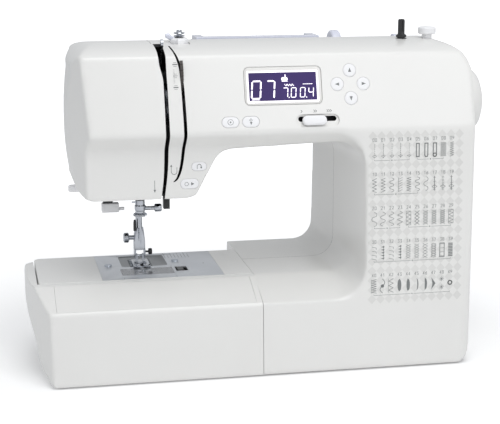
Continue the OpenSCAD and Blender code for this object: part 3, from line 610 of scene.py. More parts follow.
    def build(self) -> dict[str, bpy.types.Object]:
        """Builds the three covers.

        Returns:
            The front, rear and face covers by name, before their openings are cut.
        """
        outer = soften(self.mass("casing", 0.0, -24.0, SHELL), self.voxel, self.rounds)
        Casing.solid = copy_of(outer, "casing_solid")
        inner = self.mass("hollow", self.wall, SEAM_X + self.wall, INSIDE)
        carve(outer, inner, block("well", (SEAM_X + self.wall, -84, -2), (172, 84, 6), INSIDE))
        carve(outer, block("left_of_base", (-60, -FAR, -10), (SEAM_X, FAR, BED_Z + 4), SHELL))
        left, right = self.slot_lines()
        back_seam = -96.3
        face = copy_of(outer, "face_cover_shell")
        carve(face, self._beyond(left, True),
              block("behind", (back_seam, -28.01, 90), (FAR, FAR, 320), INSIDE),
              block("base", (-60, -FAR, -10), (FAR, FAR, 132), INSIDE))
        rest = outer
        carve(rest, self._beyond(right, False),
              block("behind", (-FAR, -28.01, 90), (back_seam + self.seam, FAR, 320),
                                                      INSIDE))
        rear = copy_of(rest, "rear_cover_shell")
        carve(rear, block("front_half", (-FAR, -FAR, -20), (FAR, SPLIT_Y + self.seam / 2, 320), INSIDE))
        carve(rest, block("rear_half", (-FAR, SPLIT_Y - self.seam / 2, -20), (FAR, FAR, 320), INSIDE))
        rest.name = "front_cover_shell"
        return {"front": rest, "rear": rear, "face": face}

    def _beyond(self, line: list[Point], right: bool) -> bpy.types.Object:
        """A cutter for the front of the head on one side of a slot edge."""
        far = FAR if right else -FAR
        outline = [(far, line[0][1] - 20), (line[0][0], line[0][1] - 20)] + line + [(line[-1][0], 320),
                                                                                    (far, 320)]
        if not right:
            outline = outline[::-1]
        return prism("beyond", Along.Y, outline, -FAR, -28, INSIDE)


# ---------- where things sit ----------

def panel_y(z: float) -> float:
    """Y of the control panel's face at height z."""
    return PANEL_LOW[0] + (z - PANEL_LOW[1]) * (PANEL_TOP[0] - PANEL_LOW[0]) / (PANEL_TOP[1] - PANEL_LOW[1])


def front_y(z: float) -> float:
    """Y of the pillar's front face at height z."""
    return CREASE_Y + (z - CREASE_Z) * (PANEL_LOW[0] - CREASE_Y) / (PANEL_LOW[1] - CREASE_Z)


def facing(x: float, y: float, z: float, lean: float) -> Matrix:
    """A frame on a front face: local X right, local Y up the face, local Z out of it.

    Args:
        x: where its origin is, in millimetres, as are y and z.
        y: see x.
        z: see x.
        lean: how far the face's top leans back, in degrees.

    Returns:
        The frame's matrix.
    """
    return Matrix.Translation(Vector((x, y, z)) * MM) @ Matrix.Rotation(math.radians(90 - lean), 4, "X")


def on_panel(x: float, z: float) -> Matrix:
    """A frame on the control panel."""
    return facing(x, panel_y(z), z,
                  math.degrees(math.atan2(PANEL_TOP[0] - PANEL_LOW[0], PANEL_TOP[1] - PANEL_LOW[1])))


def on_pillar(x: float, z: float) -> Matrix:
    """A frame on the pillar's front face."""
    return facing(x, front_y(z), z,
                  math.degrees(math.atan2(PANEL_LOW[0] - CREASE_Y, PANEL_LOW[1] - CREASE_Z)))


def on_head(x: float, z: float) -> Matrix:
    """A frame on the upright lower face of the head."""
    return facing(x, HEAD_FACE_Y, z, 0.0)


def on_bed(x: float, y: float) -> Matrix:
    """A frame on the bed, local Z up."""
    return Matrix.Translation(Vector((x, y, BED_Z)) * MM)


# ---------- printed marks ----------

DIGIT_STROKES: dict[str, list[list[Point]]] = {
    "0": [[(0, 0), (1, 0), (1, 2), (0, 2), (0, 0)]], "1": [[(0.2, 1.6), (0.6, 2), (0.6, 0)]],
    "2": [[(0, 2), (1, 2), (1, 1.1), (0, 0), (1, 0)]], "3": [[(0, 2), (1, 2), (0.4, 1.1), (1, 0.7), (1, 0),
                                                              (0, 0)]],
    "4": [[(0.8, 0), (0.8, 2), (0, 0.6), (1, 0.6)]], "5": [[(1, 2), (0, 2), (0, 1.1), (1, 1.1), (1, 0),
                                                            (0, 0)]],
    "6": [[(1, 2), (0, 1.1), (0, 0), (1, 0), (1, 1), (0, 1)]], "7": [[(0, 2), (1, 2), (0.4, 0)]],
    "8": [[(0, 0), (1, 0), (1, 2), (0, 2), (0, 0)], [(0, 1), (1, 1)]],
    "9": [[(0, 0), (1, 0.9), (1, 2), (0, 2), (0, 1), (1, 1)]]}
SEGMENTS: dict[str, str] = {"0": "abcdef", "4": "bcfg", "7": "abc"}


class Artwork:
    """Flat shapes printed on a face, gathered into one thin closed mesh."""

    def __init__(self) -> None:
        """Starts with nothing printed."""
        self.shapes: list[list[Point]] = []

    def shape(self, points: Sequence[Point]) -> "Artwork":
        """Adds a filled convex shape."""
        self.shapes.append(list(points))
        return self

    def stroke(self, points: Sequence[Point], width: float = 0.3) -> "Artwork":
        """Adds a line of that width through points."""
        for a, b in zip(points, points[1:]):
            start, end = Vector(a), Vector(b)
            along = (end - start).normalized() * width / 2
            side = Vector((-along.y, along.x))
            self.shapes.append([tuple(start - along - side), tuple(end + along - side),
                                tuple(end + along + side),
                                tuple(start - along + side)])
        return self

    def strokes(self, lines: Sequence[Sequence[Point]], width: float = 0.3) -> "Artwork":
        """Adds several lines of one width."""
        for line in lines:
            self.stroke(line, width)
        return self

    def dot(self, centre: Point, radius: float, steps: int = 12) -> "Artwork":
        """Adds a round dot."""
        return self.shape(circle(radius, steps, centre))

    def ring(self, centre: Point, radius: float, width: float = 0.25, steps: int = 16) -> "Artwork":
        """Adds a round outline."""
        line = circle(radius, steps, centre)
        return self.stroke(line + line[:1], width)

    def number(self, text: str, at: Point, height: float = 1.9, width: float = 0.24,
               pitch: float = 1.45) -> "Artwork":
        """Adds a number, centred at a point, in plain strokes."""
        unit = height / 2
        pitch *= unit
        left = at[0] - (pitch * (len(text) - 1) + unit) / 2
        for i, digit in enumerate(text):
            for line in DIGIT_STROKES[digit]:
                self.stroke([(left + i * pitch + u * unit, at[1] + (v - 1) * unit) for u, v in line], width)
        return self

    def segments(self, digit: str, at: Point, size: Point, thick: float) -> "Artwork":
        """Adds a seven-segment digit.

        Args:
            digit: which digit.
            at: its lower left corner.
            size: its width and height.
            thick: how wide a segment is.

        Returns:
            This artwork.
        """
        w, h, t = size[0], size[1], thick / 2
        middle, gap = h / 2, thick * 0.18
        bars = {"a": (0, h, 1), "d": (0, 0, 1), "g": (0, middle, 1), "b": (w, middle, 0), "c": (w, 0, 0),
                "e": (0, 0, 0), "f": (0, middle, 0)}
        for key in SEGMENTS[digit]:
            u, v, flat = bars[key]
            long = w if flat else middle
            bar = [(gap, 0), (gap + t, -t), (long - gap - t, -t), (long - gap, 0), (long - gap - t, t),
                   (gap + t, t)]
            placed = [(u + a, v + b) if flat else (u - b, v + a) for a, b in bar]
            self.shapes.append([(at[0] + a + 0.09 * b, at[1] + b) for a, b in placed])
        return self

    def print_on(self, name: str, place: Matrix, finish: Finish, proud: float = 0.07,
                 sunk: float = 0.12) -> bpy.types.Object:
        """Makes the artwork a piece.

        Args:
            name: the piece's name.
            place: the frame of the face that it is printed on.
            finish: its ink.
            proud: how far it stands out of the face, in millimetres.
            sunk: how far it reaches into the face.

        Returns:
            The piece, a thin closed mesh.
        """
        vertices: list[Vector] = []
        faces: list[list[int]] = []
        for points in self.shapes:
            base, count = len(vertices), len(points)
            for height in (-sunk, proud):
                vertices += [place @ (Vector((u, v, height)) * MM) for u, v in points]
            faces.append([base + i for i in reversed(range(count))])
            faces.append([base + count + i for i in range(count)])
            faces += [[base + i, base + (i + 1) % count, base + count + (i + 1) % count, base + count + i]
                      for i in range(count)]
        mesh = bpy.data.meshes.new(name)
        mesh.from_pydata(vertices, [], faces)
        piece = bpy.data.objects.new(name, mesh)
        bpy.context.scene.collection.objects.link(piece)
        mesh.materials.append(finish.material())
        activate(piece)
        bpy.ops.object.mode_set(mode="EDIT")
        bpy.ops.mesh.select_all(action="SELECT")
        bpy.ops.mesh.normals_make_consistent(inside=False)
        bpy.ops.object.mode_set(mode="OBJECT")
        return piece


def cap(name: str, outline: Callable[[float], list[Point]], place: Matrix, low: float, high: float,
        finish: Finish, round_off: float = 0.5) -> bpy.types.Object:
    """A key cap or knob whose top edge is rounded and crowned.

    Args:
        name: the piece's name.
        outline: gives its outline, shrunk by a distance.
        place: the frame that it stands in.
        low: its foot, in millimetres out of the face.
        high: its top.
        finish: its material.
        round_off: the radius of its top edge.

    Returns:
        The cap.
    """
    r = round_off
    sections = [(low, outline(0.0)), (high - r, outline(0.0))]
    sections += [(high - r + r * math.sin(a), outline(r * (1 - math.cos(a)))) for a in (0.5, 1.0, 1.4)]
    sections.append((high + 0.12, outline(r + 1.3)))
    return shade(seat(loft(name, Along.Z, sections, finish), place), 40)


def from_node(node: str, name: str, finish: Finish, width: float, segments: int = 2) -> bpy.types.Object:
    """A copy of a CAD node with its flats made whole and its edges eased.

    Args:
        node: the CAD node.
        name: the new piece's name.
        finish: its material.
        width: the edge radius, in millimetres.
        segments: how many facets an eased edge has.

    Returns:
        The copy.
    """
    piece = copy_of(frame["nodes"][node], name)
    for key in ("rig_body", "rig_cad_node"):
        if key in piece:
            del piece[key]
    piece.parent = None
    piece.data.materials.clear()
    piece.data.materials.append(finish.material())
    activate(piece)
    bpy.ops.object.mode_set(mode="EDIT")
    bpy.ops.mesh.select_all(action="SELECT")
    bpy.ops.mesh.remove_doubles(threshold=0.00002)
    bpy.ops.mesh.dissolve_limited(angle_limit=math.radians(1.0))
    bpy.ops.object.mode_set(mode="OBJECT")
    return ease(piece, width, segments, 30) if width else shade(piece)


# ---------- covers' openings ----------

@dataclass
class Openings:
    """The holes in the three covers."""

    window: Point = (66.6, 32.6)
    window_at: Point = (9.0, 246.9)
    arrow_hole: float = 5.76
    arrows: tuple[Point, ...] = ((67, 258.2), (67, 235.4), (55.6, 247), (78.4, 247))
    ovals: tuple[Point, ...] = ((-37.3, 218.5), (-20, 218.5))
    reverse_at: Point = (-62.5, 181.0)
    start_at: Point = (-70.6, 166.5)
    slider_at: Point = (37.2, 218.1)
    cover_screws: tuple[tuple[float, float, float], ...] = ((-70, 180, 79.85), (60, 215, 77.2),
                                                            (150, 250, 71.2),
                                                            (150, 30, 87.8), (20, 30, 87.8))

    def tool(self, outline: list[Point], place: Matrix, low: float, high: float = 6.0) -> bpy.types.Object:
        """A cutter with that outline, sunk into a face to low."""
        return seat(prism("tool", Along.Z, outline, low, high, SHELL), place)

    def guide_groove(self) -> bpy.types.Object:
        """The cutter for the curved thread groove right of the take-up slot."""
        line = smooth_line([(-83.8, 168.5), (-80.6, 172), (-77.6, 181), (-75.6, 196), (-75.0, 214),
                            (-75.4, 238), (-76.0, 253), (-77.0, 263), (-80.0, 273), (-84.6, 283), (-88.0, 292)])
        half = [0.12 + 1.25 * math.sin(math.pi * min(1.0, 0.08 + i / (len(line) - 1))) ** 0.5
                for i in range(len(line))]
        left = [(x - h, z) for (x, z), h in zip(line, half)]
        right = [(x + h, z) for (x, z), h in zip(line, half)]
        return prism("groove", Along.Y, right + left[::-1], -FAR, -38, INSIDE)

    def shared(self) -> list[bpy.types.Object]:
        """The cutters that open both long covers: the arm shaft's hole and the way for the free arm."""
        return [prism("shaft_hole", Along.X, circle(14, 32, SHAFT), 160, 200, INSIDE),
                block("arm_way", (-16, -39, 31), (-7, 45, 76.5), INSIDE)]

    def cut_front(self, cover: bpy.types.Object) -> None:
        """Cuts the front cover's openings."""
        w, h = self.window[0] / 2, self.window[1] / 2
        tools = [self.tool(rounded((-w, -h), (w, h), 4.6), on_panel(*self.window_at), -1.9),
                 self.tool(rounded((-30, -13.5), (30, 13.5), 1), on_panel(*self.window_at), -8)]
        tools += [self.tool(circle(self.arrow_hole, 40), on_panel(*at), -8) for at in self.arrows]
        tools += [self.tool(stadium(14.8, 9.4), on_panel(*at), -8) for at in self.ovals]
        tools += [self.tool(stadium(13.1, 7.7), on_head(*self.reverse_at), -8),
                  self.tool(stadium(15.7, 8.7), on_head(*self.start_at), -8),
                  self.tool(stadium(37.4, 10.8), on_panel(*self.slider_at), -1.7),
                  self.tool(stadium(33.0, 4.4, (0, 1.6)), on_panel(*self.slider_at), -8)]
        for tool in tools:
            carve(cover, tool)
        dial = prism("dial_well", Along.Y, rounded((-76.7, 239), (-74.7, 262), 0.9), -FAR, -40, INSIDE)
        carve(cover, self.guide_groove(), dial,
              block("guide_foot", (-79.2, -31.2, 268), (-62.8, -8.8, 300), SHELL),
              block("lifter_way", (-90, -24, 149), (-74, 12, 159), INSIDE),
              prism("spindle_hole", Along.Z, circle(5.0, 32, SPINDLE), 260, 300, INSIDE),
              prism("stopper_hole", Along.Z, circle(4.8, 32, STOPPER), 260, 300, INSIDE),
              *self.shared())

    def cut_rear(self, cover: bpy.types.Object) -> None:
        """Cuts the rear cover's openings, and adds the wells for the handle and the spool."""
        wells = [block("handle_tub", (-54.5, 10.2, 263.5), (64.5, 58.5, 281), SHELL),
                 block("spool_tub", (65.5, 13, 254), (140.5, 58.5, 281), SHELL)]
        for well in wells:
            carve(well, copy_of(Casing.solid, "inside_of_casing"), operation="INTERSECT")
            carve(cover, well, operation="UNION")
        handle = prism("handle_well", Along.Z, rounded((-52, 12.6), (62, 56), 5), 266, 300, SHELL)
        spool = prism("spool_well", Along.Z, rounded((68, 16), (138, 56), 5), 256.5, 300, SHELL)
        tools = [handle, spool, *self.shared(),
                 prism("left_pivot", Along.X, circle(2.55, 24, HANDLE), -54, -51, SHELL),
                 prism("right_pivot", Along.X, circle(2.55, 24, HANDLE), 61, 64, SHELL),
                 prism("pin_hole", Along.X, circle(4.0, 24, SPOOL), 137, 141.6, SHELL),
                 block("bar_way", (-97, 9, 149), (-74, 62, 159), INSIDE),
                 prism("socket_way", Along.X, rounded((20, 18), (64, 52), 2), 169, 190, SHELL)]
        for x, z, seat_y in self.cover_screws:
            tools += [prism("screw_way", Along.Y, circle(2.0, 20, (x, z)), 60, 100, SHELL),
                      prism("head_way", Along.Y, circle(3.6, 24, (x, z)), seat_y, 100, SHELL)]
        for tool in tools:
            carve(cover, tool)

    def line_slots(self) -> None:
        """Fits the dark plate behind the slots, below the take-up lever's swing, and a near-black sheet behind
        the speed slider's slot that paints the shade inside it.
        """
        liner = block("slot_liner", (-99, -29.5, 158), (-70, -28, 214), INSIDE)
        fit(ease(liner, 0.4), "root", "dark_plastic")
        # A near-black sheet behind the speed slider's slot: painted shade for the dark gap beside the knob.
        slider_slot_shade = self.tool(rounded((-17.5, -1.4), (17.5, 5.0), 1), on_panel(*self.slider_at), -9.6, -9.0)
        slider_slot_shade.name, slider_slot_shade.data.materials[0] = "slider_painted_shade", INSIDE.material()
        fit(ease(slider_slot_shade, 0.15), "root", "dark_plastic")

    def cut_face(self, cover: bpy.types.Object) -> None:
        """Cuts the way for the needle bar through the face cover's floor."""
        carve(cover, block("bar_way", (-150, -24, 149), (-80, 43, 159), INSIDE))


# ---------- control panel ----------

@dataclass
class ControlPanel:
    """The display, the keys and the speed slider on the front of the arm."""

    screen: Point = (58.0, 23.8)
    screen_shift: Point = (-0.2, -0.6)
    plan: Openings = None

    def build(self) -> None:
        """Builds the display, then the keys and the slider."""
        self._display()
        self._arrow_keys()
        self._oval_keys()
        self._slider()

    def _display(self) -> None:
        """The bezel, the white frame, the screen and what it shows."""
        place = on_panel(*self.plan.window_at)
        bezel = cap("display_bezel", lambda g: rounded((-33 + g, -16 + g), (33 - g, 16 - g), 4.3), place,
                    -1.6, 0.0,
                    BEZEL, 0.4)
        (w, h), (u, v) = self.screen, self.screen_shift
        carve(bezel, self.plan.tool(rounded((u - w / 2 - 1.6, v - h / 2 - 1.6),
                                            (u + w / 2 + 1.6, v + h / 2 + 1.6), 0.8),
                                    place, -0.5))
        fit(shade(bezel), "root", "lens_clear", "display_window")
        white = loft("display_frame", Along.Z, [(-1.0, rounded((u - w / 2 - 1.5, v - h / 2 - 1.5),
                                                              (u + w / 2 + 1.5, v + h / 2 + 1.5), 0.7)),
                                                (-0.3, rounded((u - w / 2 - 1.5, v - h / 2 - 1.5),
                                                               (u + w / 2 + 1.5, v + h / 2 + 1.5), 0.7))],
                     DIGIT)
        seat(white, place)
        carve(white, self.plan.tool(rounded((u - w / 2, v - h / 2), (u + w / 2, v + h / 2), 0.3), place, -2))
        fit(white, "root", "lens_clear")
        screen = prism("display_screen", Along.Z, rounded((u - w / 2 + 0.05, v - h / 2 + 0.05),
                                                          (u + w / 2 - 0.05, v + h / 2 - 0.05), 0.3), -1.2,
                       -0.45, VIOLET)
        fit(seat(screen, place), "root", "display_violet")
        art = Artwork()
        left, low = u - w / 2, v - h / 2
        art.segments("0", (left + 1.9, low + 2.1), (7.4, 14.6), 1.3)
        art.segments("7", (left + 14.4, low + 2.1), (6.6, 14.6), 1.3)
        for digit, at in (("7", 28.6), ("0", 35.6), ("0", 43.4), ("4", 50.6)):
            art.segments(digit, (left + at, low + 2.6), (4.0, 8.0), 0.7)
        art.dot((left + 33.9, low + 2.5), 0.5).dot((left + 48.9, low + 2.5), 0.5)
        art.stroke([(left + 2.2, low + 0.9), (left + 8.6, low + 0.9)], 0.35)
        art.stroke([(left + 30.6 + 1.1 * i, low + 13.0 + 0.7 * (-1) ** i) for i in range(8)], 0.5)
        art.strokes([[(left + 46.4 + 1.7 * i, low + 13.6),
                      (left + 47.5 + 1.7 * i, low + 13.6)] for i in range(5)], 0.5)
        art.shape(rounded((left + 28, low + 16.6), (left + 33.4, low + 19.6), 1.2, 3))
        art.stroke([(left + 31.4, low + 19), (left + 31.4, low + 21.6)], 0.8)
        art.stroke([(left + 28.6, low + 16.2), (left + 33.2, low + 16.2)], 0.5)
        fit(art.print_on("display_digits", place, DIGIT, -0.38, 0.5), "root", "display_violet")

    def _arrow_keys(self) -> None:
        """The four round keys with arrow heads."""
        for (name, turn), at in zip((("up", 0), ("down", 180), ("left", 90), ("right", -90)),
                                    self.plan.arrows):
            key = cap(f"{name}_key_cap", lambda g: circle(5.6 - g, 40), on_panel(*at), -5.5, 0.25, KEYCAP,
                      0.4)
            fit(key, f"{name}_key", "key_white", f"{name}_key")
            turn_by = Matrix.Rotation(math.radians(turn), 4, "Z")
            arrow = Artwork().shape([(-1.35, -1.5), (1.35, -1.5), (0, 2.1)])
            fit(arrow.print_on(f"{name}_arrow", on_panel(*at) @ turn_by, INK, 0.42, 0.1), f"{name}_key",
                "dark_plastic")

    def _oval_keys(self) -> None:
        """The lock and needle keys on the panel, and the reverse and start keys on the head."""
        lock, needle = self.plan.ovals
        marks = {"lock": Artwork().ring((0, 0), 2.3, 0.3).dot((0, 0), 0.7),
                 "needle": Artwork().strokes([[(0, 2.6), (1.2, 1.2), (0, 0.4), (-1.2, 1.2), (0, 2.6)]], 0.3)
                 .shape([(-1.1, -0.2), (0, -2.7), (1.1, -0.2)]),
                 "reverse": Artwork().stroke([(-1.7, -1.8), (-1.7, 0.4), (-1.1, 1.5), (0, 1.9), (1.1, 1.5),
                                              (1.7, 0.4),
                                              (1.7, -0.6)],
                                             0.45).shape([(0.8, -0.4), (2.6, -0.4), (1.7, -2.0)]),
                 "start": Artwork().ring((-2.6, 0), 1.5, 0.3).shape([(1.2, -1.4), (3.8, 0), (1.2, 1.4)])}
        spots = {"lock": (on_panel(*lock), 14.4, 9.0), "needle": (on_panel(*needle), 14.4, 9.0),
                 "reverse": (on_head(*self.plan.reverse_at), 12.8, 7.4),
                 "start": (on_head(*self.plan.start_at), 15.4, 8.4)}
        for name, (place, w, h) in spots.items():
            key = cap(f"{name}_key_cap", lambda g, w=w, h=h: stadium(w - 2 * g, h - 2 * g), place, -5.5,
                      0.25, KEYCAP, 0.4)
            fit(key, f"{name}_key", "key_white", f"{name}_key")
            fit(marks[name].print_on(f"{name}_mark", place, INK, 0.42, 0.1), f"{name}_key", "dark_plastic")

    def _slider(self) -> None:
        """The speed slider's knob in its trough, and the chevrons above it."""
        place = on_panel(34.2, 218.1)
        knob = cap("speed_knob", lambda g: stadium(21 - 2 * g, 8.2 - 2 * g), place, 0.12, 2.4, KEYCAP, 1.4)
        stem = self.plan.tool(rounded((-3, 0.2), (3, 3.0), 0.8), place, -6, 0.5)
        carve(knob, stem, operation="UNION")
        fit(shade(knob, 40), "speed_slider", "key_white", "speed_slider")
        art = Artwork()
        for count, x in ((1, 23.5), (2, 35.2), (3, 47.3)):
            for i in range(count):
                u = x - 37.2 + (i - (count - 1) / 2) * 1.5
                art.stroke([(u - 0.5, 6.9), (u + 0.5, 7.9), (u - 0.5, 8.9)], 0.42)
        fit(art.print_on("speed_marks", on_panel(*self.plan.slider_at), INK), "root", "dark_plastic")


# ---------- stitch chart ----------

def zigzag(width: float, turns: int, height: float = 12.0, jog: float = 0.0) -> list[Point]:
    """A zigzag down a stitch's column, centred, with its rows stepped by jog."""
    return [((-1) ** i * width / 2 + (jog if i % 4 > 1 else 0),
             height / 2 - i * height / turns) for i in range(turns + 1)]


def wave(width: float, turns: int, height: float = 12.0, shape: float = 1.0) -> list[Point]:
    """A rounded wave down a stitch's column."""
    steps = turns * 8
    return [(width / 2 * math.copysign(abs(math.sin(math.pi * i / 8)) ** shape, math.sin(math.pi * i / 8)),
             height / 2 - i * height / steps) for i in range(steps + 1)]


@dataclass
class StitchChart:
    """The numbered chart of stitches printed on the pillar."""

    first: Point = (85.9, 200.3)
    pitch: Point = (7.62, 29.2)
    columns: int = 10
    rows: int = 5
    icon_drop: float = 9.6
    bar_drop: float = 17.6
    middle: Point = (122.0, 135.0)
    diamond: Point = (7.7, 8.3)

    def build(self) -> None:
        """Prints the diamond ground, the numbers and the icons."""
        ground, ink, bold = Artwork(), Artwork(), Artwork()
        wide, high = self.diamond
        left, top = self.first[0] - self.middle[0], self.first[1] - self.middle[1]
        for i in range(11):
            for j in range(18):
                u, v = left - 1.7 + i * wide, top + 3.3 - j * high
                ground.shape([(u, v - high / 2), (u + wide / 2, v), (u, v + high / 2), (u - wide / 2, v)])
        for n in range(self.columns * self.rows):
            row, column = divmod(n, self.columns)
            u, v = left + column * self.pitch[0], top - row * self.pitch[1]
            ink.number(f"{n:02d}", (u, v), 2.5, 0.28, 1.75)
            self._icon(n, u, v - self.icon_drop, ink, bold)
        for row, start, end in ((0, 0, 4), (0, 5, 8), (1, 0, 5), (2, 0, 3), (2, 4, 9), (3, 0, 9), (4, 0, 9)):
            a, b = (left + c * self.pitch[0] for c in (start, end))
            v, middle = top - row * self.pitch[1] - self.bar_drop, (a + b) / 2
            ink.strokes([[(a, v + 0.9), (a, v), (middle - 1.6, v)],
                         [(middle + 1.6, v), (b, v), (b, v + 0.9)]], 0.26)
            bold.dot((middle, v), 0.55, 8)
        place = on_pillar(*self.middle)
        fit(ground.print_on("chart_ground", place, PALE_INK, 0.04), "root", "shell_white")
        fit(ink.print_on("chart_lines", place, INK, 0.08), "root", "dark_plastic")
        fit(bold.print_on("chart_solids", place, INK, 0.08), "root", "dark_plastic")

    def _icon(self, n: int, u: float, v: float, ink: Artwork, bold: Artwork) -> None:
        """Prints one stitch's icon.

        Args:
            n: the stitch's number.
            u: the icon's middle across the chart.
            v: its middle up the chart.
            ink: takes its thin lines.
            bold: takes its solid shapes.
        """
        def at(points: Sequence[Point]) -> list[Point]:
            """Points moved to the icon's middle."""
            return [(u + a, v + b) for a, b in points]

        def rows(count: int, part: Callable[[float], list[Point]]) -> None:
            """Repeats a line down the icon."""
            for i in range(count):
                ink.stroke(at(part(5.2 - i * 10.4 / (count - 1))), 0.3)

        row, column = divmod(n, 10)
        if row == 0:
            if column < 5:
                for i in range(7):
                    ink.stroke(at([(0, 6 - 1.8 * i), (0, 5.1 - 1.8 * i)]), 0.3 + 0.1 * (column % 2))
                ink.stroke(at([(-1.8, -4.2), (0, -2.8 - column * 0.3), (1.8, -4.2), (0, -5.4),
                               (-1.8, -4.2)]), 0.26)
            elif column < 8:
                half = (1.25, 1.35, 1.45)[column - 5]
                foot = [(half, -4.6), (0.8, -5.8), (-0.8, -5.8),
                        (-half, -4.6)] if column > 5 else [(half, -5.6), (-half, -5.6)]
                ink.stroke(at([(-half, 5.6), (half, 5.6), *foot, (-half, 5.6)]), 0.85)
                if column == 7:
                    ink.ring((u, v - 4.6), 1.5, 0.7)
            elif column == 8:
                for i in range(16):
                    ink.stroke(at([(-2.3, 5.6 - 0.75 * i), (2.3, 5.6 - 0.75 * i)]), 0.34)
            else:
                ink.stroke(at(zigzag(2.9, 13)), 0.4)
        elif row == 1:
            if column in (0, 1, 4):
                ink.stroke(at(zigzag(3.6, 8 + column)), 0.4)
            elif column in (2, 5, 6):
                ink.stroke(at(wave(3.8, 3 + column % 3, shape=0.6)), 0.36)
            elif column == 3:
                ink.stroke(at([(-1.6, 6), (-1.6, -6)]), 0.3)
                rows(6, lambda w: [(-1.6, w - 0.6), (1.8, w + 0.9)])
            else:
                ink.stroke(at([(0, 6), (0, -6)]), 0.3 + 0.25 * (column % 2))
                rows(3 + column % 3, lambda w: [(-1.0, w), (1.0, w)])
                ink.stroke(at([(-2.2, -2.8), (0, -1.2), (2.2, -2.8), (0, -4.4), (-2.2, -2.8)]), 0.34)
        elif row == 2:
            if column < 4:
                ink.stroke(at(wave(4.4, 3 + column, shape=0.4 + 0.3 * column)), 0.34)
            elif column in (4, 9):
                ink.stroke(at([(-2.1, 6), (2.1, 6), (2.1, -6), (-2.1, -6), (-2.1, 6)]), 0.3)
                ink.stroke(at(zigzag(3.8, 6 + column // 4)), 0.34)
            else:
                ink.stroke(at(zigzag(4.0, column - 1)), 0.42)
                ink.stroke([(2 * u - a, b) for a, b in at(zigzag(4.0, column - 1))], 0.42)
        elif row == 3:
            if column in (0, 2):
                rows(4, lambda w: [(-1.9, w), (1.9, w - 0.8), (1.9, w - 2.2)])
            elif column in (1, 3):
                for i in range(5):
                    bold.shape(at([(-1.6, 5 - 2.5 * i), (1.6, 5.8 - 2.5 * i), (1.2, 4.2 - 2.5 * i)]))
                ink.stroke(at([(0.8, 6), (0.8, -6)]), 0.3)
            elif column in (4, 5, 6):
                rows(6 - (column == 6), lambda w: [(-2, w - 1), (2, w + 1)])
                rows(6 - (column == 6), lambda w: [(-2, w + 1), (2, w - 1)])
            elif column == 7:
                ink.stroke(at(wave(4.2, 8)), 0.3)
                ink.stroke([(2 * u - a, b) for a, b in at(wave(4.2, 8))], 0.3)
            elif column == 8:
                ink.stroke(at([(-2, 6), (2, 6), (2, -6), (-2, -6), (-2, 6)]), 0.6)
                rows(4, lambda w: [(-2, w), (2, w)])
            else:
                for i in range(9):
                    bold.shape(at([(-2, 5.9 - 1.35 * i), (2, 5.9 - 1.35 * i), (2, 5.0 - 1.35 * i),
                                   (-2, 5.0 - 1.35 * i)]))
        elif column in (0, 2):
            ink.stroke(at(zigzag(4.2, 12 - 3 * column)), 0.4)
            ink.stroke(at([(-2.3, 6), (-2.3, -6)]), 0.25)
        elif column == 1:
            ink.stroke(at(wave(4.2, 2)), 0.5)
            bold.dot(at([(0, 0)])[0], 1.5)
        elif column in (3, 4, 5, 6):
            right, left = {3: (1.7, 1.7), 4: (1.9, 1.2), 5: (1.9, -0.9), 6: (2.1, 0.0)}[column]
            edge = [math.sqrt(max(0.0, 1 - (w / 5.6) ** 2)) for w in (5.6, 4, 2, 0, -2, -4, -5.6)]
            heights = (5.6, 4, 2, 0, -2, -4, -5.6)
            for (e0, w0), (e1, w1) in zip(list(zip(edge, heights)), list(zip(edge, heights))[1:]):
                bold.shape(at([(right * e0 + 0.01, w0), (right * e1 + 0.01, w1), (-left * e1, w1),
                               (-left * e0, w0)]))
        elif column == 7:
            bold.shape(at([(-1.7, 5.4), (-0.6, 0), (2.1, 0)])).shape(at([(-0.6, 0), (-1.7, -5.4), (2.1, 0)]))
        elif column == 8:
            for centre in (3.6, -3.6):
                for a in range(0, 180, 45):
                    c, s = math.cos(math.radians(a)) * 2, math.sin(math.radians(a)) * 2
                    ink.stroke(at([(-c, centre - s), (c, centre + s)]), 0.28)
        else:
            ink.ring((u, v), 1.7, 0.95)


# ---------- head ----------

@dataclass
class HeadMarks:
    """The threading marks printed on the head and by the dial."""

    def build(self) -> None:
        """Prints the marks on the panel's slope and on the head's lower face."""
        scale = Artwork()
        for v in (19.3, 9.8, 0.2):
            scale.stroke([(-1.6, v), (1.6, v)], 0.9 if v != 9.8 else 0.45)
            scale.strokes([[(-1.2, v - 1.5), (1.2, v - 1.5)], [(-1.2, v + 1.5), (1.2, v + 1.5)]], 0.3)
        scale.strokes([[(-1.8, 4 + i * 1.1), (-0.6, 4 + i * 1.1)] for i in range(11)], 0.18)
        fit(scale.print_on("dial_scale", on_panel(-81.2, 247.3), INK), "root", "dark_plastic")
        path = Artwork()
        path.stroke([(-2.4, 3.4), (-2.4, -1.6), (-1.4, -3.2), (0.2, -3.6), (1.8, -3.0), (2.4, -1.6),
                     (2.4, 2.2)], 0.4)
        path.shape([(-3.4, 3.0), (-1.4, 3.0), (-2.4, 4.8)])
        fit(path.print_on("thread_turn_mark", on_head(-83.6, 178.5), INK), "root", "dark_plastic")
        down = Artwork().stroke([(0, 4.6), (0, -3.4)], 0.4).shape([(-1.0, -3.0), (1.0, -3.0), (0, -5.4)])
        fit(down.print_on("thread_down_mark", on_head(-100.0, 165.5), INK), "root", "dark_plastic")


# ---------- extension table and free arm ----------

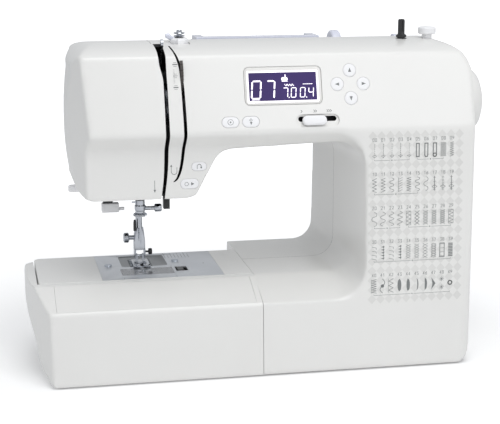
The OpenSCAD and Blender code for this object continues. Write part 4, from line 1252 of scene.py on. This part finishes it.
@dataclass
class ExtensionTable:
    """The table that slides off to the left, with its accessory box and lid."""

    wall: float = 2.5
    seam: float = 0.4
    left: float = -206.4
    voxel: float = 1.8
    rounds: int = 6

    def mass(self, name: str, gap: float, finish: Finish) -> bpy.types.Object:
        """The table as one solid body, shrunk by gap."""
        right = SEAM_X - self.seam
        grow = 0 if gap else 14
        left = self.left
        front = smooth_line([(left, 70), (left + 0.2, 50), (left + 2.2, 43), (left + 5.6, 31),
                             (left + 6.4, 26),
                             (left + 8.0, 17), (left + 11.0, 8)], 4)
        outline = front + arc((left + 21, 8), 7, 190, 270, 6) + [(right + grow, 1.0), (right + grow, BED_Z),
                                                                 (left, BED_Z)]
        side = [(41, -20), (41, BED_Z + 5), (-50, BED_Z + 5), (-50, BED_Z), (CREASE_Y, CREASE_Z), (-88.6, 0),
                (-88.6, -20)]
        plan = ([(right + grow, -120), (right + grow, 60)] + arc((left + 14, 27), 14, 90, 180, 8)
                + smooth_line([(left, 0), (left + 1.4, -30), (left + 6.5, -56), (left + 13.5, -80)], 3)
                + [(left + 18, -92), (left + 20, -120)])
        body = prism(name, Along.Y, inset(outline, gap), -FAR, FAR, finish)
        return carve(body, prism("side", Along.X, inset(side, gap), -FAR, FAR, finish),
                     prism("plan", Along.Z, inset(plan, gap), -50, FAR, finish), operation="INTERSECT")

    def build(self) -> None:
        """Builds the shell and the lid, on the table's and the lid's bodies."""
        right = SEAM_X - self.seam
        outer = soften(self.mass("table_shell", 0.0, SHELL), self.voxel, self.rounds)
        carve(outer, block("beyond", (right, -FAR, -10), (60, FAR, 120), SHELL))
        lid = copy_of(outer, "table_lid_panel")
        carve(lid, prism("lid_layer", Along.X,
                         [(-50.6, 60), (-50.6, 77.0), (-50.6, 120), (-83.4, 120), (-83.4, 62.4)][::-1],
                         -184.6, right - 5, SHELL), operation="INTERSECT")
        carve(lid, prism("under", Along.X, [(-50.4, 40), (-50.4, 76.9), (-83.6, 62.2), (-83.6, 40)], -190,
                         10, SHELL))
        inner = self.mass("table_hollow", self.wall, INSIDE)
        inner.data.materials.clear()
        inner.data.materials.append(SHELL.material())
        carve(inner, block("behind", (-FAR, -45.5, -20), (FAR, FAR, 120), SHELL))
        carve(outer, inner, block("arm_space", (-198.2, -42.6, 8), (60, FAR, 120), SHELL),
              block("pan", (-182, -42, -5), (right - 4, 33, 5.5), SHELL),
              prism("lid_way", Along.X, [(-83.55, 55), (-50.4, 55), (-50.4, 100), (-83.55, 100)], -184.75,
                    right - 4.8, SHELL))
        fit(shade(outer), "table", "shell_white", "extension_table")
        fit(shade(lid), "lid", "shell_white", "table_lid")


@dataclass
class FreeArm:
    """The free arm under the needle, with its plate."""

    left: float = -196.9
    front: float = -42.0
    rear: float = 48.0
    floor: float = 28.0

    def build(self) -> None:
        """Builds the arm's cover and dresses the needle plate."""
        right = SEAM_X - 0.3
        low, high = (self.left, self.front), (right + 16, self.rear)
        body = loft("arm_shell", Along.Z,
                    [(self.floor, rounded((low[0] + 2, low[1] + 1), (high[0], high[1] - 1), 9)),
                                           (self.floor + 3, rounded(low, high, 9)),
                     (BED_Z - 0.6, rounded(low, high, 5)),
                                           (BED_Z, rounded((low[0] + 0.6, low[1] + 0.6),
                                                           (high[0], high[1] - 0.6), 5))], SHELL)
        tools = [block("end", (right, -FAR, 0), (FAR, FAR, 120), SHELL),
                 block("hollow", (self.left + 3, self.front + 3, 31), (right + 30, self.rear - 3, BED_Z - 3),
                       SHELL),
                 block("plate_seat", (-142.5, -41.1, BED_Z - 1.8), (-36.1, 46.6, BED_Z + 1), SHELL),
                 block("plate_well", (-139.4, -38, BED_Z - 5), (-39.2, 43.5, BED_Z + 1), INSIDE),
                 block("lever_way", (-66, self.rear - 4, 57), (-48, self.rear + 1, 61), SHELL)]
        for tool in tools:
            carve(body, tool)
        fit(shade(body), "root", "shell_white", "free_arm_cover")
        self._plate()

    def _plate(self) -> None:
        """The guide lines and the marks on the needle plate."""
        lines = Artwork()
        for i in range(8):
            lines.stroke([(-79 + 3.1 * i, 27), (-79 + 3.1 * i, 45 - (i % 2) * 5)], 0.3)
        lines.stroke([(-133 - 3.4, 9), (-133 + 3.4, 9)], 0.5)
        lines.stroke([(-48, 2), (-48, 4.4)], 0.5)
        lines.strokes([[(-123.5 + 45.6 * i, -40), (-123.5 + 45.6 * i, -36)] for i in (0, 1)], 0.3)
        fit(lines.print_on("plate_lines", on_bed(0, 0), INK, 0.05, 0.2), "root", "steel")


# ---------- top of the arm, handwheel, needle gear ----------

@dataclass
class TopDeck:
    """The handle, the spool cap, the winder and the thread guide on top of the arm."""

    def build(self) -> None:
        """Builds each piece on its own body."""
        fit(from_node("carry_handle", "handle_grip", PALE, 1.6, 3), "handle", "shell_white", "carry_handle")
        disc = turned("spool_disc", Along.X, SPOOL,
                      [(9.0, 75.0), (12.0, 75.3), (13.1, 76.2), (13.5, 77.8), (13.5, 81.0),
                                                          (13.1, 82.8), (12.0, 83.8), (8.0, 84.1),
                       (6.4, 84.6),
                                                          (6.0, 85.5), (5.6, 89.4), (5.0, 90.0)], PALE)
        carve(disc, prism("bore", Along.X, circle(3.05, 24, SPOOL), 70, 95, PALE))
        fit(shade(disc), "spool_cap", "spool_white", "spool_cap")
        spindle = turned("winder_post", Along.Z, SPINDLE,
                         [(15, 257), (15, 263), (3.4, 263.2), (3.4, 281.0), (4.4, 281.2),
                                                             (4.6, 282.4), (4.4, 283.4), (3.3, 283.8),
                          (3.0, 284.6),
                                                             (3.0, 295.4), (2.7, 296.5), (2.0, 297)], BLACK)
        carve(spindle, block("slit", (125.6, -24, 287), (126.4, -16, 298), BLACK))
        fit(shade(spindle), "winder", "dark_plastic", "winder_spindle")
        stopper = turned("stopper_knob", Along.Z, STOPPER,
                         [(4.4, 270), (4.4, 283.4), (7.2, 283.8), (7.8, 284.6),
                                                                (7.8, 288.8), (7.2, 289.7), (6.0, 290)],
                         KEYCAP)
        fit(shade(stopper), "stopper", "spool_white", "winder_stopper")
        self._guide()
        scale = Artwork()
        scale.strokes([[(-9 + 1.2 * i, 0), (-8.2 + 1.2 * i, 0)] for i in range(5)] + [[(20, 1), (30, 1)]],
                      0.5)
        place = Matrix.Translation(Vector((119, -38, 278.55)) * MM) @ Matrix.Rotation(math.radians(7), 4, "X")
        fit(scale.print_on("winder_marks", place, INK, 0.1, 0.4), "root", "dark_plastic")

    def _guide(self) -> None:
        """The thread guide's moulded base, its tab and its plated discs."""
        def plan(across: float, deep: float) -> list[Point]:
            """The base's oval outline."""
            return stadium(across, deep, GUIDE)

        base = loft("guide_base", Along.Z,
                    [(272, plan(16, 21.6)), (282.2, plan(15.6, 21.4)), (283.5, plan(14.4, 20.2)),
                                            (284.1, plan(12.0, 17.8)), (284.2, plan(6.0, 11.8))], KEYCAP)
        fit(shade(base, 50), "root", "steel", "thread_guides")
        tab = loft("guide_tab", Along.X, [(-82.8, rounded((-22, 284), (-18, 287.6), 1.7)),
                                          (-80, rounded((-22.6, 282.6), (-17.4, 288), 2)),
                                          (-74, rounded((-23.5, 280.8), (-16.5, 283.4), 1.2))], PALE)
        fit(shade(tab, 50), "root", "steel")
        discs = turned("guide_discs", Along.Z, GUIDE,
                       [(1.8, 283), (1.8, 285), (4.6, 285.1), (5.1, 285.5), (4.4, 286.1),
                                                           (2.2, 286.4), (2.2, 287.1), (4.4, 287.4),
                        (5.1, 287.9),
                                                           (4.6, 288.6), (2.4, 288.9), (2.4, 290.2),
                        (1.9, 290.7)], CHROME)
        fit(shade(discs), "root", "steel")
        axle = prism("dial_axle", Along.X, circle(3.0, 24, DIAL_AXIS), -86, -73, STEEL)
        for x in (-85, -82):
            carve(axle, turned("tension_disc", Along.X, DIAL_AXIS, [(8.6, x), (9.0, x + 0.4), (9.0, x + 1.0),
                                                                      (8.6, x + 1.4)], STEEL),
                  operation="UNION")
        fit(shade(axle), "root", "steel")


@dataclass
class HandWheel:
    """The handwheel on the right end of the arm shaft."""

    radius: float = 31.8
    centre: Point = (4.0, 221.0)

    def build(self) -> None:
        """Turns the wheel and cuts its shaft bore."""
        r = self.radius
        wheel = turned("wheel_rim", Along.X, self.centre,
                       [(r - 3.2, 180.0), (r - 1.2, 180.6), (r - 0.2, 182.2), (r, 185.0), (r, 191.0),
                        (r - 0.5, 194.5),
                        (r - 1.7, 197.5), (r - 3.0, 199.2), (r - 3.6, 199.3), (r - 4.4, 200.6),
                        (r - 7.0, 203.0),
                        (r - 11.5, 205.0), (r - 18.0, 206.1), (2.0, 206.5)], SHELL, 72)
        hollow = turned("back_hollow", Along.X, self.centre,
                        [(r - 5.5, 179), (r - 5.5, 196), (r - 8, 199), (12, 199),
                                                              (10.5, 196), (10.5, 179)], SHELL, 48)
        boss = turned("hub", Along.X, self.centre, [(10, 174), (10, 197)], SHELL, 40)
        carve(wheel, hollow)
        carve(wheel, boss, operation="UNION")
        carve(wheel, prism("shaft_bore", Along.X, circle(6.02, 32, self.centre), 170, 196.2, SHELL))
        fit(shade(wheel), "upper_shaft", "shell_white", "handwheel")


@dataclass
class NeedleGear:
    """The plated pieces round the needle, with their edges eased."""

    def _trims(self) -> None:
        """The small clips, knobs and the thread cutter that stand on the bigger pieces."""
        clip = loft("holder_clip", Along.Z, [(110, rounded((-109.4, 10.5), (-106.8, 13.5), 0.8)),
                                             (117, rounded((-109.4, 10.5), (-106.8, 13.5), 0.8)),
                                             (120, rounded((-109, 10.9), (-107.2, 13.1), 0.7))], BLACK)
        fit(shade(clip, 50), "presser", "dark_plastic")
        knob = turned("foot_knob", Along.X, (13, 90.2),
                      [(0.9, -99.4), (0.9, -96.4), (2.5, -96.2), (2.9, -95.6),
                                                        (2.9, -93.6), (2.5, -93.0)], BLACK)
        fit(shade(knob), "presser", "dark_plastic")
        guide = turned("clamp_guide", Along.Z, NEEDLE,
                       [(5.3, 125.2), (6.2, 125.4), (6.4, 126.2), (6.0, 127.2), (5.3, 127.6)],
                       CHROME)
        carve(guide, prism("bore", Along.Z, circle(5.25, 32, NEEDLE), 120, 130, CHROME),
              block("mouth", (-100, -8, 120), (-90, 3, 130), CHROME))
        fit(shade(guide), "needle_bar", "chrome")
        clamp = turned("needle_clamp_body", Along.Z, NEEDLE,
                       [(3.9, 126), (4.2, 126.5), (4.2, 130), (4.9, 130.6),
                                                                (5.0, 134.6), (4.2, 135.4), (4.2, 139.4),
                        (3.8, 140)], CHROME)
        screw = turned("clamp_screw", Along.X, (4, 132),
                       [(1.8, -102), (1.8, -91.4), (3.1, -91.2), (3.6, -90.6),
                                                         (3.6, -86), (3.0, -85)], CHROME, 32)
        carve(clamp, screw, block("hook", (-111.5, 3, 137), (-104, 5, 138.4), CHROME), operation="UNION")
        carve(clamp, prism("bar_bore", Along.Z, circle(3.26, 32, NEEDLE), 134, 142, CHROME),
              prism("needle_bore", Along.Z, circle(1.02, 20, NEEDLE), 120, 135, CHROME))
        fit(shade(clamp), "needle_bar", "chrome", "needle_clamp")
        holder = loft("holder_block", Along.Z, [(92, rounded((-109, 11.5), (-99, 20.5), 1.2)),
                                                (100, rounded((-109, 11.5), (-99, 20.5), 1.2)),
                                                (107, rounded((-108.4, 11.8), (-99.6, 20.3), 1.6)),
                                                (112, rounded((-107.8, 12.2), (-100.2, 19.8), 2.2))], CHROME)
        thumb = turned("thumb_screw", Along.X, (16, 103),
                       [(3.4, -118), (4.4, -117.4), (4.6, -114), (3.6, -113.2),
                                                          (2.0, -113), (2.0, -108)], CHROME, 32)
        carve(holder, thumb, *(block(f"fork_{x}", (x - 0.7, 10.5, 84.5), (x + 0.7, 18, 93), CHROME)
                               for x in (-108.3, -99.7)), operation="UNION")
        carve(holder, prism("presser_bore", Along.Z, circle(3.02, 32, PRESSER), 97.5, 114, CHROME),
              prism("pin_bore", Along.X, circle(1.06, 20, (13, 87)), -111, -97, CHROME))
        fit(shade(holder), "presser", "chrome", "foot_holder")
        wedge = loft("threader_wedge", Along.Z, [(138.1, rounded((-137, 1), (-128.5, 7), 0.8)),
                                                 (143, rounded((-136, 1.2), (-129, 6.8), 0.8)),
                                                 (150, rounded((-133.4, 1.8), (-129.4, 6.2), 0.7))], BLACK)
        fit(shade(wedge, 50), "threader", "key_white")
        nub = loft("thread_cutter", Along.X, [(-168.0, rounded((-19, 154.0), (-13, 158.6), 2.2)),
                                              (-166.6, rounded((-20, 153.2), (-12, 159.4), 2.6)),
                                              (-156, rounded((-20, 153.2), (-12, 159.4), 2.6))], KEYCAP)
        fit(shade(nub, 50), "root", "shell_white")
        plate = from_node("needle_plate", "needle_plate_inset", PLATE, 0.2, 2)
        carve(plate, prism("sunk", Along.Z, rounded((-121.4, 1.6), (-80.3, 39), 3), BED_Z - 0.45, BED_Z + 2,
                           PLATE_DARK))
        fit(shade(plate), "root", "steel", "needle_plate")

    def build(self) -> None:
        """Eases the machined pieces that show, and adds their trims."""
        self._trims()
        for node, body, slot, finish, width in (
                ("presser_foot", "foot", "chrome", CHROME, 0.25),
                                                ("presser_lifter", "lifter", "dark_plastic", BLACK, 0.8),
                ("needle_threader", "threader", "key_white", KEYCAP, 0.6),
                ("buttonhole_lever", "buttonhole", "key_white", KEYCAP, 0.6)):
            fit(from_node(node, f"{node}_eased", finish, width), body, slot, node)
        spring = fit(from_node("presser_spring", "presser_coil", CHROME, 0.0), "root", "chrome",
                     "presser_spring")
        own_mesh(spring)


# ---------- studio ----------

@dataclass
class Studio:
    """The pale floor, the soft lights and the camera."""

    camera_at: tuple[float, float, float] = (-0.24411, -1.18147, 0.3852)
    azimuth: float = 11.42
    elevation: float = 12.17
    lens: float = 98.8
    sky: float = 0.6
    floor_lift: tuple[float, float] = (0.22, 0.8)

    def build(self) -> None:
        """Sets the floor, the lights, the world and the camera."""
        bpy.ops.object.select_all(action="DESELECT")
        bpy.ops.mesh.primitive_plane_add(size=14)
        floor = bpy.context.object
        floor.name = "floor"
        paper = Finish("floor_paper", (0.90, 0.90, 0.90), 0.8, drift=0.005, depth=0.0, glow=0.4).material()
        floor.data.materials.append(paper)
        self._lift(paper.node_tree)
        self._light("key", (0.7, -1.7, 1.3), 1.0, 7.5)
        self._light("top", (0.1, -0.7, 1.9), 1.2, 12)
        self._light("fill", (-1.5, -1.2, 0.9), 1.4, 1.1)
        world = bpy.data.worlds.new("studio")
        bpy.context.scene.world = world
        world.use_nodes = True
        self._sky(world.node_tree)
        camera = bpy.data.cameras.new("camera")
        camera.lens, camera.sensor_width, camera.clip_start = self.lens, 36.0, 0.05
        stand = bpy.data.objects.new("camera", camera)
        bpy.context.scene.collection.objects.link(stand)
        stand.location = self.camera_at
        stand.rotation_euler = (math.radians(90 - self.elevation), 0.0, math.radians(-self.azimuth))
        bpy.context.scene.camera = stand
        bpy.context.scene.view_settings.view_transform = "Standard"

    def _lift(self, tree: bpy.types.NodeTree) -> None:
        """Wires the floor so that it looks whiter to the camera, but doesn't light the machine."""
        rays, share, where, far, fall = (tree.nodes.new(f"ShaderNode{kind}") for kind in
                                         ("LightPath", "Math", "TexCoord", "VectorMath", "MapRange"))
        share.operation, far.operation = "MULTIPLY", "LENGTH"
        for socket, value in zip(("From Min", "From Max", "To Min", "To Max"), (0.25, 0.9, *self.floor_lift)):
            fall.inputs[socket].default_value = value
        tree.links.new(where.outputs["Object"], far.inputs[0])
        tree.links.new(far.outputs["Value"], fall.inputs["Value"])
        tree.links.new(rays.outputs["Is Camera Ray"], share.inputs[0])
        tree.links.new(fall.outputs["Result"], share.inputs[1])
        tree.links.new(share.outputs["Value"], tree.nodes["Principled BSDF"].inputs["Emission Strength"])

    def _sky(self, tree: bpy.types.NodeTree) -> None:
        """Wires a white backdrop that lights the machine more softly than it shows."""
        light = tree.nodes["Background"]
        light.inputs["Color"].default_value = (0.95, 0.97, 1.0, 1.0)
        light.inputs["Strength"].default_value = self.sky
        backdrop, rays, mix = (tree.nodes.new(kind) for kind in
                               ("ShaderNodeBackground", "ShaderNodeLightPath", "ShaderNodeMixShader"))
        backdrop.inputs["Color"].default_value = (1.0, 1.0, 1.0, 1.0)
        tree.links.new(rays.outputs["Is Camera Ray"], mix.inputs["Fac"])
        tree.links.new(light.outputs["Background"], mix.inputs[1])
        tree.links.new(backdrop.outputs["Background"], mix.inputs[2])
        tree.links.new(mix.outputs["Shader"], tree.nodes["World Output"].inputs["Surface"])

    def _light(self, name: str, place: tuple[float, float, float], size: float, power: float) -> None:
        """Adds a square soft light that faces the machine."""
        data = bpy.data.lights.new(name, "AREA")
        data.size, data.energy = size, power
        lamp = bpy.data.objects.new(name, data)
        bpy.context.scene.collection.objects.link(lamp)
        lamp.location = place
        lamp.rotation_euler = (Vector((0, 0, 0.13)) - Vector(place)).to_track_quat("-Z", "Y").to_euler()


def main() -> None:
    """Builds the machine around the CAD frame, piece by piece."""
    logging.basicConfig(level=logging.INFO, format="%(message)s")
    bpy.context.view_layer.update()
    dress_nodes()
    openings = Openings()
    covers = Casing().build()
    openings.cut_front(covers["front"])
    openings.cut_rear(covers["rear"])
    openings.cut_face(covers["face"])
    bpy.data.objects.remove(Casing.solid)
    for key, cover in covers.items():
        fit(shade(cover), "root", "shell_white", f"{key}_cover")
    openings.line_slots()
    ControlPanel(plan=openings).build()
    for assembly in (StitchChart(), HeadMarks(), ExtensionTable(), FreeArm(), TopDeck(), HandWheel(),
                     NeedleGear()):
        assembly.build()
    Studio().build()


if __name__ == "__main__":
    main()
